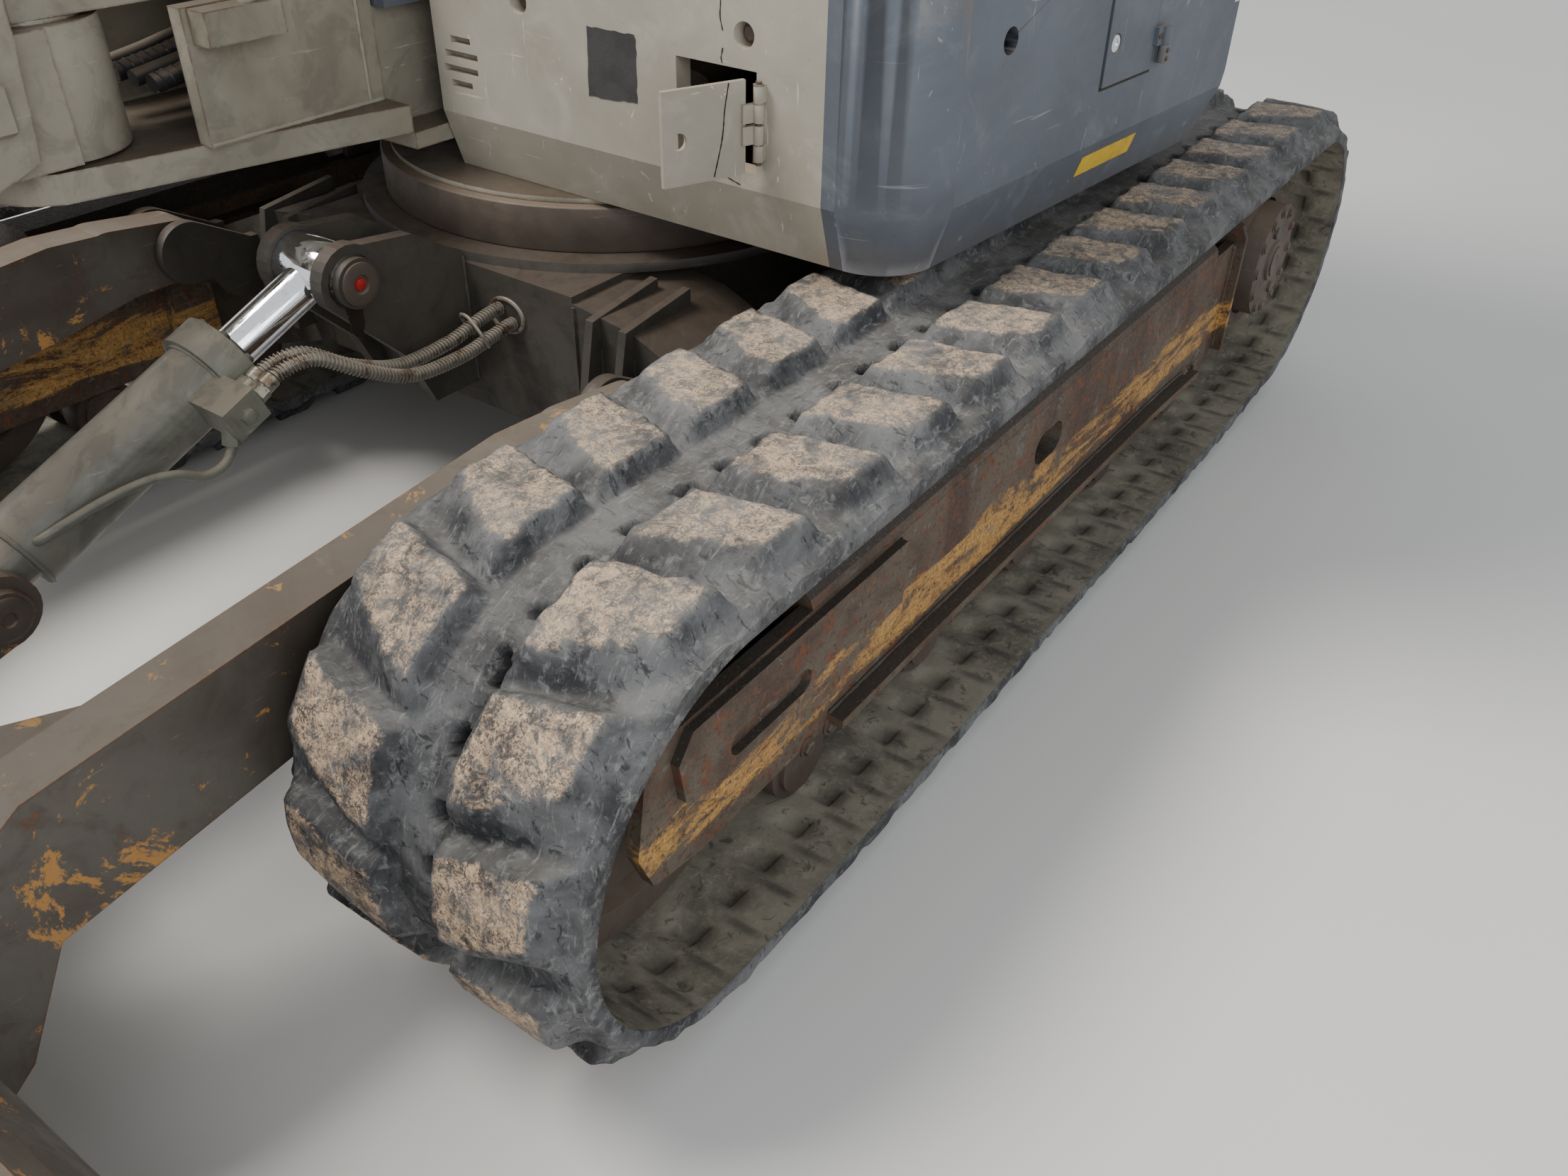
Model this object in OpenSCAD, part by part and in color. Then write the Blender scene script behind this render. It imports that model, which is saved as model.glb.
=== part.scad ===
// Compact crawler excavator with a dozer blade, a swing boom and a closed cab.
// Forward is +X, left is +Y, up is +Z. The origin is on the ground on the slewing axis.

/* [Tracks] */
// distance between the middles of the two tracks
gauge = 1560; // [1500:10:1660]
// width of a rubber belt
track_w = 400; // [380:10:420]
// place of the idler's axle ahead of the slewing axis
idler_x = 930; // [900:5:960]
// height of the idler's axle
idler_z = 308; // [304:1:318]
// place of the sprocket's axle behind the slewing axis
sprocket_x = 930; // [900:5:960]
// height of the sprocket's axle
sprocket_z = 312; // [308:1:330]
// height of a lug over its belt
lug_h = 28; // [24:1:30]
// number of lugs in one row
lug_count = 37; // [35:1:38]
// how far a lug of the outer row stands behind the front wheel's top
lug_start = 70; // [0:5:120]

/* [Blade] */
// width of the blade
blade_w = 1960; // [1900:10:1980]
// height of the blade
blade_h = 390; // [370:5:400]

/* [House] */
// half width of the house where its round tail begins
house_half = 852; // [840:1:860]
// how far the left side draws in towards the front, in degrees
flank_turn = 4.8; // [4:0.1:5.4]
// top of the skirt, where the cab stands
deck_z = 1050; // [1040:5:1060]
// height of the cab's roof
roof_z = 2520; // [2450:10:2560]
// radius of the tail
tail_r = 1032; // [1026:2:1050]
// where the round tail begins, behind the slewing axis
tail_x = -592; // [-600:2:-584]

/* [Digging arm] */
// width of the boom's box
boom_w = 200; // [180:2:210]
// width of the bucket
bucket_w = 620; // [450:10:700]

/* [Hidden] */
$fn = 48;

belt_t = 30;
wheel_r = 239;
tread = belt_t + lug_h;
roller_r = 60;
roller_z = tread + roller_r;
low_front_x = 660;
low_rear_x = -640;
mid_y = gauge / 2;
inner_y = mid_y - track_w / 2;

// Circles of the loop, counter-clockwise from the rear roller: x, z, radius
loop = [[low_rear_x, roller_z, roller_r], [low_front_x, roller_z, roller_r],
        [idler_x, idler_z, wheel_r], [-sprocket_x, sprocket_z, wheel_r]];

function span(a, b) = norm([b[0] - a[0], b[1] - a[1]]);
function tangent(a, b) = atan2(b[1] - a[1], b[0] - a[0]) - acos((a[2] - b[2]) / span(a, b));
function turn(a, from) = a < from ? turn(a + 360, from) : a;
arc_end = [for (i = [0:3]) tangent(loop[i], loop[(i + 1) % 4])];
arc_start = [for (i = [0:3]) arc_end[(i + 3) % 4]];
arc_stop = [for (i = [0:3]) turn(arc_end[i], arc_start[i])];
arc_len = [for (i = [0:3]) (loop[i][2] + belt_t) * (arc_stop[i] - arc_start[i]) * PI / 180];
line_len = [for (i = [0:3]) let (a = loop[i], b = loop[(i + 1) % 4])
            sqrt(span(a, b) * span(a, b) - (a[2] - b[2]) * (a[2] - b[2]))];
loop_len = arc_len[0] + arc_len[1] + arc_len[2] + arc_len[3]
         + line_len[0] + line_len[1] + line_len[2] + line_len[3];
lug_pitch = loop_len / lug_count;

function polar(c, r, a) = [c[0] + r * cos(a), c[1] + r * sin(a)];
// Point of the loop at length s, so far outside the belt's inner face
function loop_at(s, off, i = 0) =
    s < arc_len[i]
    ? polar(loop[i], loop[i][2] + off,
            arc_start[i] + s / (loop[i][2] + belt_t) * 180 / PI)
    : s - arc_len[i] < line_len[i] || i == 3
    ? polar(loop[i], loop[i][2] + off, arc_stop[i])
      + (s - arc_len[i]) * [-sin(arc_stop[i]), cos(arc_stop[i])]
    : loop_at(s - arc_len[i] - line_len[i], off, i + 1);
function wrap(s) = s < 0 ? s + loop_len : s >= loop_len ? s - loop_len : s;
function loop_ring(off) = [for (i = [0:3])
    let (n = max(2, ceil((arc_stop[i] - arc_start[i]) / 12)))
    for (k = [0:n]) polar(loop[i], loop[i][2] + off,
                          arc_start[i] + (arc_stop[i] - arc_start[i]) * k / n)];
top_run = loop_len - line_len[3] - arc_len[3] - line_len[2];
function lug_ring(phase) = [for (k = [0:lug_count - 1])
    let (s = wrap(top_run + lug_start + (k + phase) * lug_pitch))
    for (p = [[-49, belt_t], [-40, tread], [40, tread], [49, belt_t]])
    loop_at(wrap(s + p[0]), p[1])];

// An outline in x and z, drawn out along y from y0 to y1
module slab(y0, y1) {
    translate([0, y1, 0]) rotate([90, 0, 0]) linear_extrude(y1 - y0) children();
}
// A round bar along y
module pin(x, z, r, y0, y1) {
    translate([x, y1, z]) rotate([90, 0, 0]) cylinder(r = r, h = y1 - y0);
}
module box(x0, x1, y0, y1, z0, z1) {
    translate([x0, y0, z0]) cube([x1 - x0, y1 - y0, z1 - z0]);
}
// A flat bar with round ends, in x and z
module bar2(a, b, ra, rb) {
    translate(a) circle(r = ra);
    translate(b) circle(r = rb);
    d = norm(b - a);
    n = [-(b[1] - a[1]), b[0] - a[0]] / d;
    u = (b - a) / d;
    s = (ra - rb) / d;
    c = sqrt(1 - s * s);
    polygon([a + ra * (s * u + c * n), b + rb * (s * u + c * n),
             b + rb * (s * u - c * n), a + ra * (s * u - c * n)]);
}
// A cylinder along the line from a to b in x and z, from length s0 to s1
module rod_piece(a, b, y, r, s0, s1) {
    t = atan2(b[1] - a[1], b[0] - a[0]);
    translate([a[0], y, a[1]]) rotate([0, 90 - t, 0]) translate([0, 0, s0]) cylinder(r = r, h = s1 - s0);
}
// The frame whose z runs from a to b
module along(a, b) {
    translate([a[0], 0, a[1]]) rotate([0, 90 - atan2(b[1] - a[1], b[0] - a[0]), 0]) children();
}
module both_sides() {
    children();
    mirror([0, 1, 0]) children();
}

// Undercarriage
module track() {
    slab(inner_y, inner_y + track_w) difference() {
        polygon(loop_ring(belt_t));
        polygon(loop_ring(0));
    }
    slab(inner_y + 18, mid_y - 37) difference() {
        polygon(lug_ring(0.5));
        polygon(loop_ring(belt_t - 4));
    }
    slab(mid_y + 37, inner_y + track_w - 18) difference() {
        polygon(lug_ring(0));
        polygon(loop_ring(belt_t - 4));
    }
}
module track_left() {
    color([0.20, 0.22, 0.24]) track();
}
module track_right() {
    color([0.20, 0.22, 0.24]) mirror([0, 1, 0]) track();
}

frame_out = mid_y + 108;
frame_in = mid_y - 108;
frame_x = 684;
side_top = 388;
eye_a = [7, 312];
eye_b = [48, 312];
top_roller_z = loop_at(arc_len[0] + line_len[0] + arc_len[1] + line_len[1] + arc_len[2]
                       + line_len[2] / 2, 0)[1] - 44.5;
module frame() {
    difference() {
        union() {
            slab(frame_in + 18, frame_out - 18)
                polygon([[-frame_x, 190], [frame_x, 190], [frame_x, side_top], [-frame_x, side_top]]);
            // shoulder and sloping top
            translate([frame_x, 0, 0]) rotate([90, 0, -90]) linear_extrude(2 * frame_x)
                polygon([[-frame_out, side_top - 1], [-frame_out + 4, side_top + 12],
                         [-frame_out + 14, side_top + 22], [-mid_y - 40, 462], [-mid_y + 40, 462],
                         [-frame_in - 18, 430], [-frame_in - 18, side_top - 1]]);
        }
        slab(mid_y - 70, mid_y + 70) polygon([[-70, 430], [70, 430], [70, 500], [-70, 500]]);
        slab(frame_out - 60, frame_out + 5) bar2(eye_a, eye_b, 27, 27);
    }
    // outer side plate, with its long hole and the raised panel over the idler's slide
    slab(frame_out - 18, frame_out) difference() {
        polygon([[-840, 150], [-700, 140], [-400, 165], [400, 175], [900, 175], [985, 190],
                 [1008, 250], [990, 360], [965, side_top], [-840, side_top], [-852, 370]]);
        bar2(eye_a, eye_b, 27, 27);
        translate([-sprocket_x, sprocket_z]) circle(r = 146);
    }
    slab(frame_out, frame_out + 12) difference() {
        polygon([[485, 272], [560, 236], [860, 236], [940, 290], [950, 350], [925, side_top - 6],
                 [485, side_top - 6]]);
        bar2([717, 307], [843, 307], 17, 17);
    }
    // plate that guards the hub, standing out from the side
    translate([-773, 0, 0]) rotate([90, 0, -90]) linear_extrude(12)
        polygon([[-mid_y - 42, 166], [-908, 166], [-908, 398], [-896, 422], [-872, 432],
                 [-mid_y - 42, 432]]);
    // carriers of the top roller
    for (y = [mid_y - 86, mid_y + 70]) slab(y, y + 16) bar2([0, 440], [0, top_roller_z], 36, 26);
    slab(frame_out, frame_out + 24)
        polygon([[-640, 160], [-400, 171], [400, 181], [640, 181], [640, 195], [400, 195],
                 [-400, 185], [-640, 174]]);
    slab(frame_in, frame_in + 18) difference() {
        polygon([[-884, 160], [900, 175], [985, 200], [990, 380], [880, 440], [600, 440],
                 [-600, 440], [-884, 470]]);
        translate([-sprocket_x, sprocket_z]) circle(r = 96.3);
    }
    // idler slides and axle
    for (y = [frame_in + 18, frame_out - 48])
        slab(y, y + 30) polygon([[frame_x, 270], [975, 280], [975, 345], [frame_x, 350]]);
    // raised box on the inner side, where the leg of the carbody is welded on
    slab(frame_in - 30, frame_in) polygon([[150, 200], [520, 200], [500, 415], [170, 415]]);
    slab(frame_in - 30, frame_in) polygon([[-520, 200], [-150, 200], [-170, 415], [-500, 415]]);
}
module frame_left() {
    color([0.42, 0.31, 0.20]) frame();
}
module frame_right() {
    color([0.42, 0.31, 0.20]) mirror([0, 1, 0]) frame();
}

module idlers() {
    color([0.33, 0.28, 0.24]) both_sides() {
        difference() {
            pin(idler_x, idler_z, wheel_r - 1.8, mid_y - 55, mid_y + 55);
            for (y = [mid_y - 56, mid_y + 30]) difference() {
                pin(idler_x, idler_z, 195, y, y + 26);
                pin(idler_x, idler_z, 70, y - 1, y + 27);
            }
        }
        pin(idler_x, idler_z, 32, frame_in + 48.2, frame_out - 48.2);
    }
}

tooth_n = 21;
module sprockets() {
    color([0.30, 0.24, 0.19]) both_sides() translate([-sprocket_x, 0, sprocket_z]) {
        slab(mid_y - 22, mid_y + 22) difference() {
            polygon([for (k = [0:tooth_n - 1]) for (p = [[-6, 206], [-3.2, 236], [3.2, 236], [6, 206]])
                     let (a = k * 360 / tooth_n + p[0]) [p[1] * cos(a), p[1] * sin(a)]]);
            circle(r = 140);
        }
        difference() {
            pin(0, 0, 141, mid_y - 90, mid_y + 112);
            pin(0, 0, 118, mid_y + 100, mid_y + 113);
        }
        pin(0, 0, 112, mid_y + 99, mid_y + 148);
        pin(0, 0, 40, mid_y + 147, mid_y + 154);
        // motor towards the middle of the machine
        pin(0, 0, 96, frame_in - 60, mid_y - 89);
        difference() {
            pin(0, 0, 190, mid_y + 22, mid_y + 34);
            pin(0, 0, 140, mid_y + 20, mid_y + 36);
        }
    }
}

roller_xs = [-640, -315, 10, 335, 660];
module rollers() {
    color([0.28, 0.23, 0.19]) both_sides() {
        for (x = roller_xs) {
            pin(x, roller_z, 46, mid_y - 88, mid_y + 88);
            for (y = [mid_y - 80, mid_y + 30]) pin(x, roller_z, roller_r - 0.5, y, y + 50);
        }
        pin(0, top_roller_z, 44.2, mid_y - 55, mid_y + 55);
        pin(0, top_roller_z, 18, mid_y - 69.8, mid_y + 69.8);
    }
}

body_h = 545;
pivot = [560, 455];
rod_pin = [635, 566];
rod_boss = 52;
blade_pin = [1215, 335];
module leg() {
    // front leg with its sloping top, then the rear leg
    for (x = [[210, 430], [-430, -210]])
        translate([x[1], 0, 0]) rotate([90, 0, -90]) linear_extrude(x[1] - x[0])
            polygon([[-290, 300], [-290, 520], [-400, 505], [-(frame_in - 30), 405],
                     [-(frame_in - 30), 215], [-460, 240]]);
}
module carbody() {
    color([0.36, 0.29, 0.23]) {
        difference() {
            box(-430, 430, -290, 290, 290, body_h - 15);
            translate([0, 0, 400]) cylinder(r = 170, h = 160);
        }
        difference() {
            translate([0, 0, body_h - 15]) cylinder(r = 430, h = 15, $fn = 72);
            translate([0, 0, body_h - 20]) cylinder(r = 170, h = 30);
        }
        both_sides() {
            leg();
            // lugs of the blade's pivot
            for (y = [454, 553]) slab(y, y + 20) {
                bar2([430, 420], pivot, 20, 52);
                polygon([[428, 330], [500, 360], [560, 455], [428, 450]]);
            }
            // ribs over the front leg
            for (y = [330, 392]) slab(y, y + 14)
                polygon([[300, 490], [420, 490], [428, 470], [428, 320], [470, 320], [470, 400],
                         [446, 512], [300, 530]]);
        }
        // bracket of the blade's cylinder
        both_sides() slab(46, 70) polygon([for (p = [[430, 330], [520, 330], [560, 420]])
                                           p, for (a = [-30:15:120]) polar(rod_pin, rod_boss, a),
                                           [520, 600], [430, 545]]);
        slab(-46, 46) polygon([[430, 330], [500, 330], [520, 400], [520, 505], [430, 505]]);
        for (y = [-86, 70]) pin(rod_pin[0], rod_pin[1], 36, y, y + 16);
    }
}

module slew_ring() {
    color([0.30, 0.30, 0.30]) difference() {
        translate([0, 0, body_h]) cylinder(r = 390, h = 70, $fn = 72);
        translate([0, 0, body_h - 1]) cylinder(r = 320, h = 72, $fn = 72);
    }
}

// Hose run: rings of a tube along hand-set points
function unit(v) = v / norm(v);
function run_dir(p, i) = unit(p[min(i + 1, len(p) - 1)] - p[max(i - 1, 0)]);
module tube(p, r, sides = 8) {
    rings = [for (i = [0:len(p) - 1])
        let (d = run_dir(p, i), a = abs(d[1]) > 0.9 ? [1, 0, 0] : [0, 1, 0],
             u = unit(cross(d, a)), v = cross(d, u))
        for (k = [0:sides - 1]) p[i] + r * (cos(k * 360 / sides) * u + sin(k * 360 / sides) * v)];
    last = (len(p) - 1) * sides;
    polyhedron(points = rings, faces = concat(
        [[for (k = [0:sides - 1]) k]],
        [for (i = [0:len(p) - 2]) for (k = [0:sides - 1])
            [i * sides + k, (i + 1) * sides + k, (i + 1) * sides + (k + 1) % sides,
             i * sides + (k + 1) % sides]],
        [[for (k = [sides - 1:-1:0]) last + k]]));
}
module blade_hoses() {
    color([0.12, 0.12, 0.12]) for (k = [0, 1])
        tube([[430.3, 140 + 26 * k, 474 - 18 * k], [445, 140 + 26 * k, 474 - 18 * k],
              [480, 140 + 26 * k, 469 - 18 * k],
              [540, 139 + 26 * k, 456 - 14 * k], [630, 134 + 26 * k, 454 - 8 * k],
              [700, 122 + 26 * k, 478], [755, 98 + 26 * k, 510], [800, 81 + 26 * k, 503],
              [844, 81 + 26 * k, 485.3]], 11);
}

// Blade
face_r = 330;
face_x = 1545 + face_r;
face_a = asin(blade_h / 2 / (face_r + 14));
function face(r, n) = [for (k = [0:n]) let (a = -face_a + 2 * face_a * k / n)
                       [face_x - r * cos(a), 8 + blade_h / 2 + r * sin(a)]];
module blade() {
    color([0.34, 0.25, 0.18]) {
        slab(-blade_w / 2, blade_w / 2)
            polygon(concat(face(face_r, 10), [for (k = [10:-1:0]) face(face_r + 14, 10)[k]]));
        slab(-blade_w / 2 + 1, blade_w / 2 - 1)
            polygon([face(face_r, 10)[0] + [2, 2], face(face_r, 10)[0] + [24, -4], [face_x - 211, 5],
                     face(face_r + 14, 10)[0] + [4, -1], face(face_r, 10)[1] + [2, 0]]);
        both_sides() {
            // arm from the pivot to the blade's back
            pin(pivot[0], pivot[1], 40, 474.3, 552.7);
            slab(480, 547) {
                bar2(pivot, [680, 462], 50, 58);
                polygon([[640, 408], [800, 378], [1171, 331], [1432, 300], [1497, 186],
                         [1545, 150], [1532, 260], [1532, 400], [1417, 469], [773, 524],
                         [640, 515]]);
            }
            // gusset that widens towards the blade
            translate([0, 0, 330]) linear_extrude(14)
                polygon([[1180, 440], [1180, 482], [1529, 482], [1529, 250]]);
            translate([0, 0, 424]) linear_extrude(14)
                polygon([[1260, 450], [1260, 482], [1532, 482], [1532, 300]]);
            // lugs of the cylinder's barrel
            slab(47, 70) polygon([for (a = [60:15:270]) polar(blade_pin, 50, a), [1400, 240],
                                  [1536, 200], [1530, 410], [1300, 400]]);
            slab(blade_w / 2 - 12, blade_w / 2) polygon(concat(face(face_r + 2, 10),
                                          [[1560, 398], [1500, 240], [1520, 60]]));
            pin(blade_pin[0], blade_pin[1], 34, 70, 84);
        }
        // cross box between the arms
        slab(-482, -70) polygon([[1440, 250], [1532, 250], [1532, 390], [1440, 390]]);
        slab(70, 482) polygon([[1440, 250], [1532, 250], [1532, 390], [1440, 390]]);
    }
}
blade_stroke0 = norm(rod_pin - blade_pin);
module blade_barrel() {
    color([0.55, 0.60, 0.56]) {
        difference() {
            union() {
                rod_piece(blade_pin, rod_pin, 0, 40, 20, 72);
                rod_piece(blade_pin, rod_pin, 0, 54, 70, 395);
                rod_piece(blade_pin, rod_pin, 0, 66, 395, 440);
            }
            rod_piece(blade_pin, rod_pin, 0, 30.3, 88, 450);
        }
        pin(blade_pin[0], blade_pin[1], 46, -46.7, 46.7);
        // port block on the left, where the hoses end
        along(blade_pin, rod_pin) translate([-24, 45, 345]) cube([48, 76, 55]);
    }
}
module blade_rod() {
    color([0.75, 0.76, 0.78]) {
        rod_piece(blade_pin, rod_pin, 0, 30, 140, blade_stroke0 - 30);
        pin(rod_pin[0], rod_pin[1], 45, -45.7, 45.7);
    }
}

// House
skirt_z = 624;
crease_z = 712;
skirt_t = 30;
front_x = 330;
panel_y = -45;
seam_y = 648;
corner_r = 115;
swing = [820, -260];
foot = [950, 1000];
// Section of the skirt from its outer face inwards: depth, height
skirt_cut = [[-28, skirt_z], [0, crease_z], [0, deck_z], [-skirt_t, deck_z],
             [-skirt_t, crease_z + 5], [-28 - skirt_t, skirt_z + 7]];
n_flank = [sin(flank_turn), cos(flank_turn)];
corner = [front_x - corner_r,
          (n_flank * [tail_x, house_half] - corner_r - n_flank[0] * (front_x - corner_r)) / n_flank[1]];
flank_top = corner + corner_r * n_flank;
flank_len = (flank_top[0] - tail_x) / n_flank[1];

// The frame of the left side: x forward along it, y out of it, from where the corner ends
module on_flank() {
    translate([flank_top[0], flank_top[1], 0]) rotate([0, 0, -flank_turn]) children();
}
tail_n = 168;
module tail_plan(r, x1 = tail_x - 0.3) {
    intersection() {
        circle(r = r, $fn = tail_n);
        translate([-1300, -house_half]) square([1300 + x1, 2 * house_half]);
    }
}
module rotor_plan() {
    intersection() {
        circle(r = tail_r - 60, $fn = tail_n);
        polygon([[-1000, 62 - house_half], [tail_x, 62 - house_half], [220, -715], [300, -640],
                 [388, -530], [388, panel_y - 4], [front_x - 62, panel_y - 4],
                 [front_x - 62, corner[1]], [flank_top[0] - 5, flank_top[1] - 62],
                 [tail_x, house_half - 62], [-1000, house_half - 62]]);
    }
}
// Outline of the nose: its radius at the swing post, its half width midway and at the root
module nose_plan(r, mid, wide) {
    polygon(concat([[387, swing[1] - wide], [640, swing[1] - mid]],
                   [for (a = [-60:15:60]) [swing[0] + r * cos(a), swing[1] + r * sin(a)]],
                   [[640, swing[1] + mid], [387, swing[1] + wide]]));
}
module main_frame() {
    color([0.66, 0.63, 0.57]) {
        translate([0, 0, body_h + 70.4]) difference() {
            union() {
                cylinder(r = 372, h = 8, $fn = 72);
                cylinder(r = 262, h = 50, $fn = 72);
            }
            translate([0, 0, -1]) cylinder(r = 170, h = 52);
        }
        difference() {
            translate([0, 0, 665]) linear_extrude(25) rotor_plan();
            translate([0, 0, 640]) cylinder(r = 170, h = 60);
        }
        difference() {
            union() {
                translate([0, 0, 690]) linear_extrude(40) nose_plan(112, 150, 208);
                translate([0, 0, 905]) linear_extrude(35) nose_plan(86, 86, 190);
            }
            box(340, 389, -700, 200, 880, 960);
        }
        // webs of the nose, then the wall across them
        for (y = [-415, -130]) box(389, 690, y, y + 25, 729, 906);
        box(389, 415, -415, -105, 729, 906);
        // ledge with the post of the swing lock
        box(560, 680, -104.8, -70, 860, 904);
        translate([600, -88, 903]) cylinder(r = 13, h = 52);
        translate([600, -88, 948]) rotate([0, 90, 20]) cylinder(r = 7, h = 60);
        // caps of the post
        for (z = [682, 939.5]) translate([swing[0], swing[1], z]) cylinder(r = 55, h = 9);
        // long webs to the tail
        for (y = [-415, -130]) box(-800, 389, y, y + 20, 689, 860);
        box(-800, -540, 300, 320, 689, 860);
    }
}

// Greige panel under the front of the cab, in its own frame: x to the left, y inwards
panel_len = seam_y - 0.3 - panel_y;
module on_panel() {
    translate([front_x, panel_y, 0]) rotate([0, 0, 90]) children();
}
// A block from y0 to y1 behind the panel's outer face
module plate(x0, x1, z0, z1, y0, y1) {
    translate([x0, y0, z0]) cube([x1 - x0, y1 - y0, z1 - z0]);
}
flap_s0 = 460;
flap_s1 = 590;
flap_z0 = 735;
flap_z1 = 863;
// Louvres of the panel: their two ends and height
louvres = [[35, 75, 820], [20, 87, 799], [15, 85, 778], [27, 70, 757]];
module front_panel() {
    color([0.72, 0.69, 0.63]) {
        on_panel() difference() {
            rotate([90, 0, 90]) linear_extrude(panel_len) polygon([for (p = skirt_cut) [-p[0], p[1]]]);
            // window that the small door closes
            plate(flap_s0, flap_s1, flap_z0, flap_z1, -5, skirt_t + 5);
            for (v = louvres) plate(v[0], v[1], v[2] - 5, v[2] + 5, -1, 14);
            for (p = [[181, 890], [570, 904]])
                translate([p[0], 20, p[1]]) rotate([90, 0, 0]) cylinder(r = 16, h = 24);
        }
        // eyes of the small door's hinge
        on_panel() for (z = [755, 829]) {
            translate([flap_s1 + 10, -9, z]) cylinder(r = 7, h = 23);
            plate(flap_s1 + 5, flap_s1 + 15, z, z + 23, -8, 1);
        }
    }
}
module front_flap() {
    color([0.72, 0.69, 0.63]) on_panel() translate([flap_s1 + 10, -9, 0]) rotate([0, 0, flap_open]) {
        difference() {
            translate([-(flap_s1 - flap_s0) - 5, 7, flap_z0 + 5])
                cube([flap_s1 - flap_s0 - 10, 7, flap_z1 - flap_z0 - 10]);
            translate([-112, 20, flap_z0 + 60]) rotate([90, 0, 0]) cylinder(r = 11, h = 30);
        }
        for (z = [778.3, 805.4]) {
            translate([0, 0, z]) cylinder(r = 7, h = 23.3);
            translate([-22, 1.5, z]) cube([21, 6.9, 23.3]);
        }
    }
}
flap_open = 68;

// Front strip, round corner and left side of the skirt
module skirt_run() {
    translate([corner[0], corner[1], 0]) {
        rotate_extrude(angle = 90 - flank_turn) polygon([for (p = skirt_cut) [corner_r + p[0], p[1]]]);
        rotate([90, 0, 0]) linear_extrude(corner[1] - seam_y)
            polygon([for (p = skirt_cut) [corner_r + p[0], p[1]]]);
    }
    on_flank() rotate([90, 0, -90]) linear_extrude(flank_len + 60)
        polygon([for (p = skirt_cut) [-p[0], p[1]]]);
    // flange along the top
    on_flank() box(-flank_len - 60, 0, -72, -skirt_t + 2, deck_z - 8, deck_z);
}
door_x0 = -520;
door_x1 = -361;
door_z0 = 787;
door_z1 = 1008;
side_pin = [door_x0 - 14, 9.5];
module side_skirt() {
    color([0.38, 0.46, 0.52]) difference() {
        skirt_run();
        box(-900, tail_x, 500, 1000, skirt_z - 20, deck_z + 10);
        slab(500, 1000) polygon([[tail_x - 1, 740], [tail_x - 1, 600], [tail_x + 42, 600]]);
        on_flank() {
            box(door_x0, door_x1, -60, 10, door_z0, door_z1);
            translate([-98, 1, 901]) rotate([90, 0, 0]) cylinder(r = 17, h = 24);
        }
    }
    color([0.38, 0.46, 0.52]) on_flank() for (z = [800, 956]) {
        translate([side_pin[0], side_pin[1], z]) cylinder(r = 8, h = 26);
        box(side_pin[0] - 6, side_pin[0] + 6, -1, 6, z, z + 26);
    }
}
module side_door() {
    color([0.38, 0.46, 0.52]) on_flank() {
        difference() {
            box(door_x0 + 5, door_x1 - 5, -22, 2, door_z0 + 5, door_z1 - 5);
            translate([door_x1 - 30, 3, 849]) rotate([90, 0, 0]) cylinder(r = 14, h = 12);
        }
        for (z = [826.3, 929.7]) {
            translate([side_pin[0], side_pin[1], z]) cylinder(r = 8, h = 26);
            box(side_pin[0], door_x0 + 9, 1.9, 9, z, z + 26);
        }
    }
}

// Tank and valve cover on the right, closed, drawn in towards the front as the left side is
cover_cut = [[430, 690.2], [28, 690.2], [0, crease_z], [0, 1180], [60, 1290], [430, 1320]];
// Section of its front, out from x0 in the frame of the round corner
module corner_cut(x0) {
    polygon([[x0, 690.2], [corner_r - 28, 690.2], [corner_r, crease_z], [corner_r, 1255], [x0, 1255]]);
}
module right_cover() {
    color([0.38, 0.46, 0.52]) difference() {
        union() {
            intersection() {
                translate([flank_top[0], -flank_top[1], 0]) rotate([0, 0, flank_turn])
                    rotate([90, 0, -90]) linear_extrude(flank_len + 40)
                    polygon([for (p = cover_cut) [-p[0], p[1]]]);
                box(tail_x, 400, -900, -440, 600, 1400);
            }
            mirror([0, 1, 0]) translate([corner[0], corner[1], 0]) {
                rotate_extrude(angle = 90 - flank_turn) corner_cut(0);
                rotate([90, 0, 0]) linear_extrude(corner[1] - 440) corner_cut(-60);
            }
            // over the tail, beside the hood
            intersection() {
                translate([tail_x + 1, 0, 0]) rotate([90, 0, -90]) linear_extrude(tail_x + 1 - hood_x - 4)
                    polygon([[440, deck_z + 0.3], [house_half - 4, deck_z + 0.3], [house_half - 4, 1176],
                             [house_half - 66, 1286], [440, 1308]]);
                cylinder(r = tail_r - 12, h = 1400, $fn = tail_n);
            }
        }
        // step cut into the front corner, and the grille's slots
        box(180, 340, -860, -640, 930, 1400);
        for (k = [0:6]) box(-540 + 60 * k, -500 + 60 * k, -900, -house_half + 26 + 5 * k, 850, 1080);
    }
}
hood_x = -694;
hood_pin = [hood_x - 8, 1440];
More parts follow.
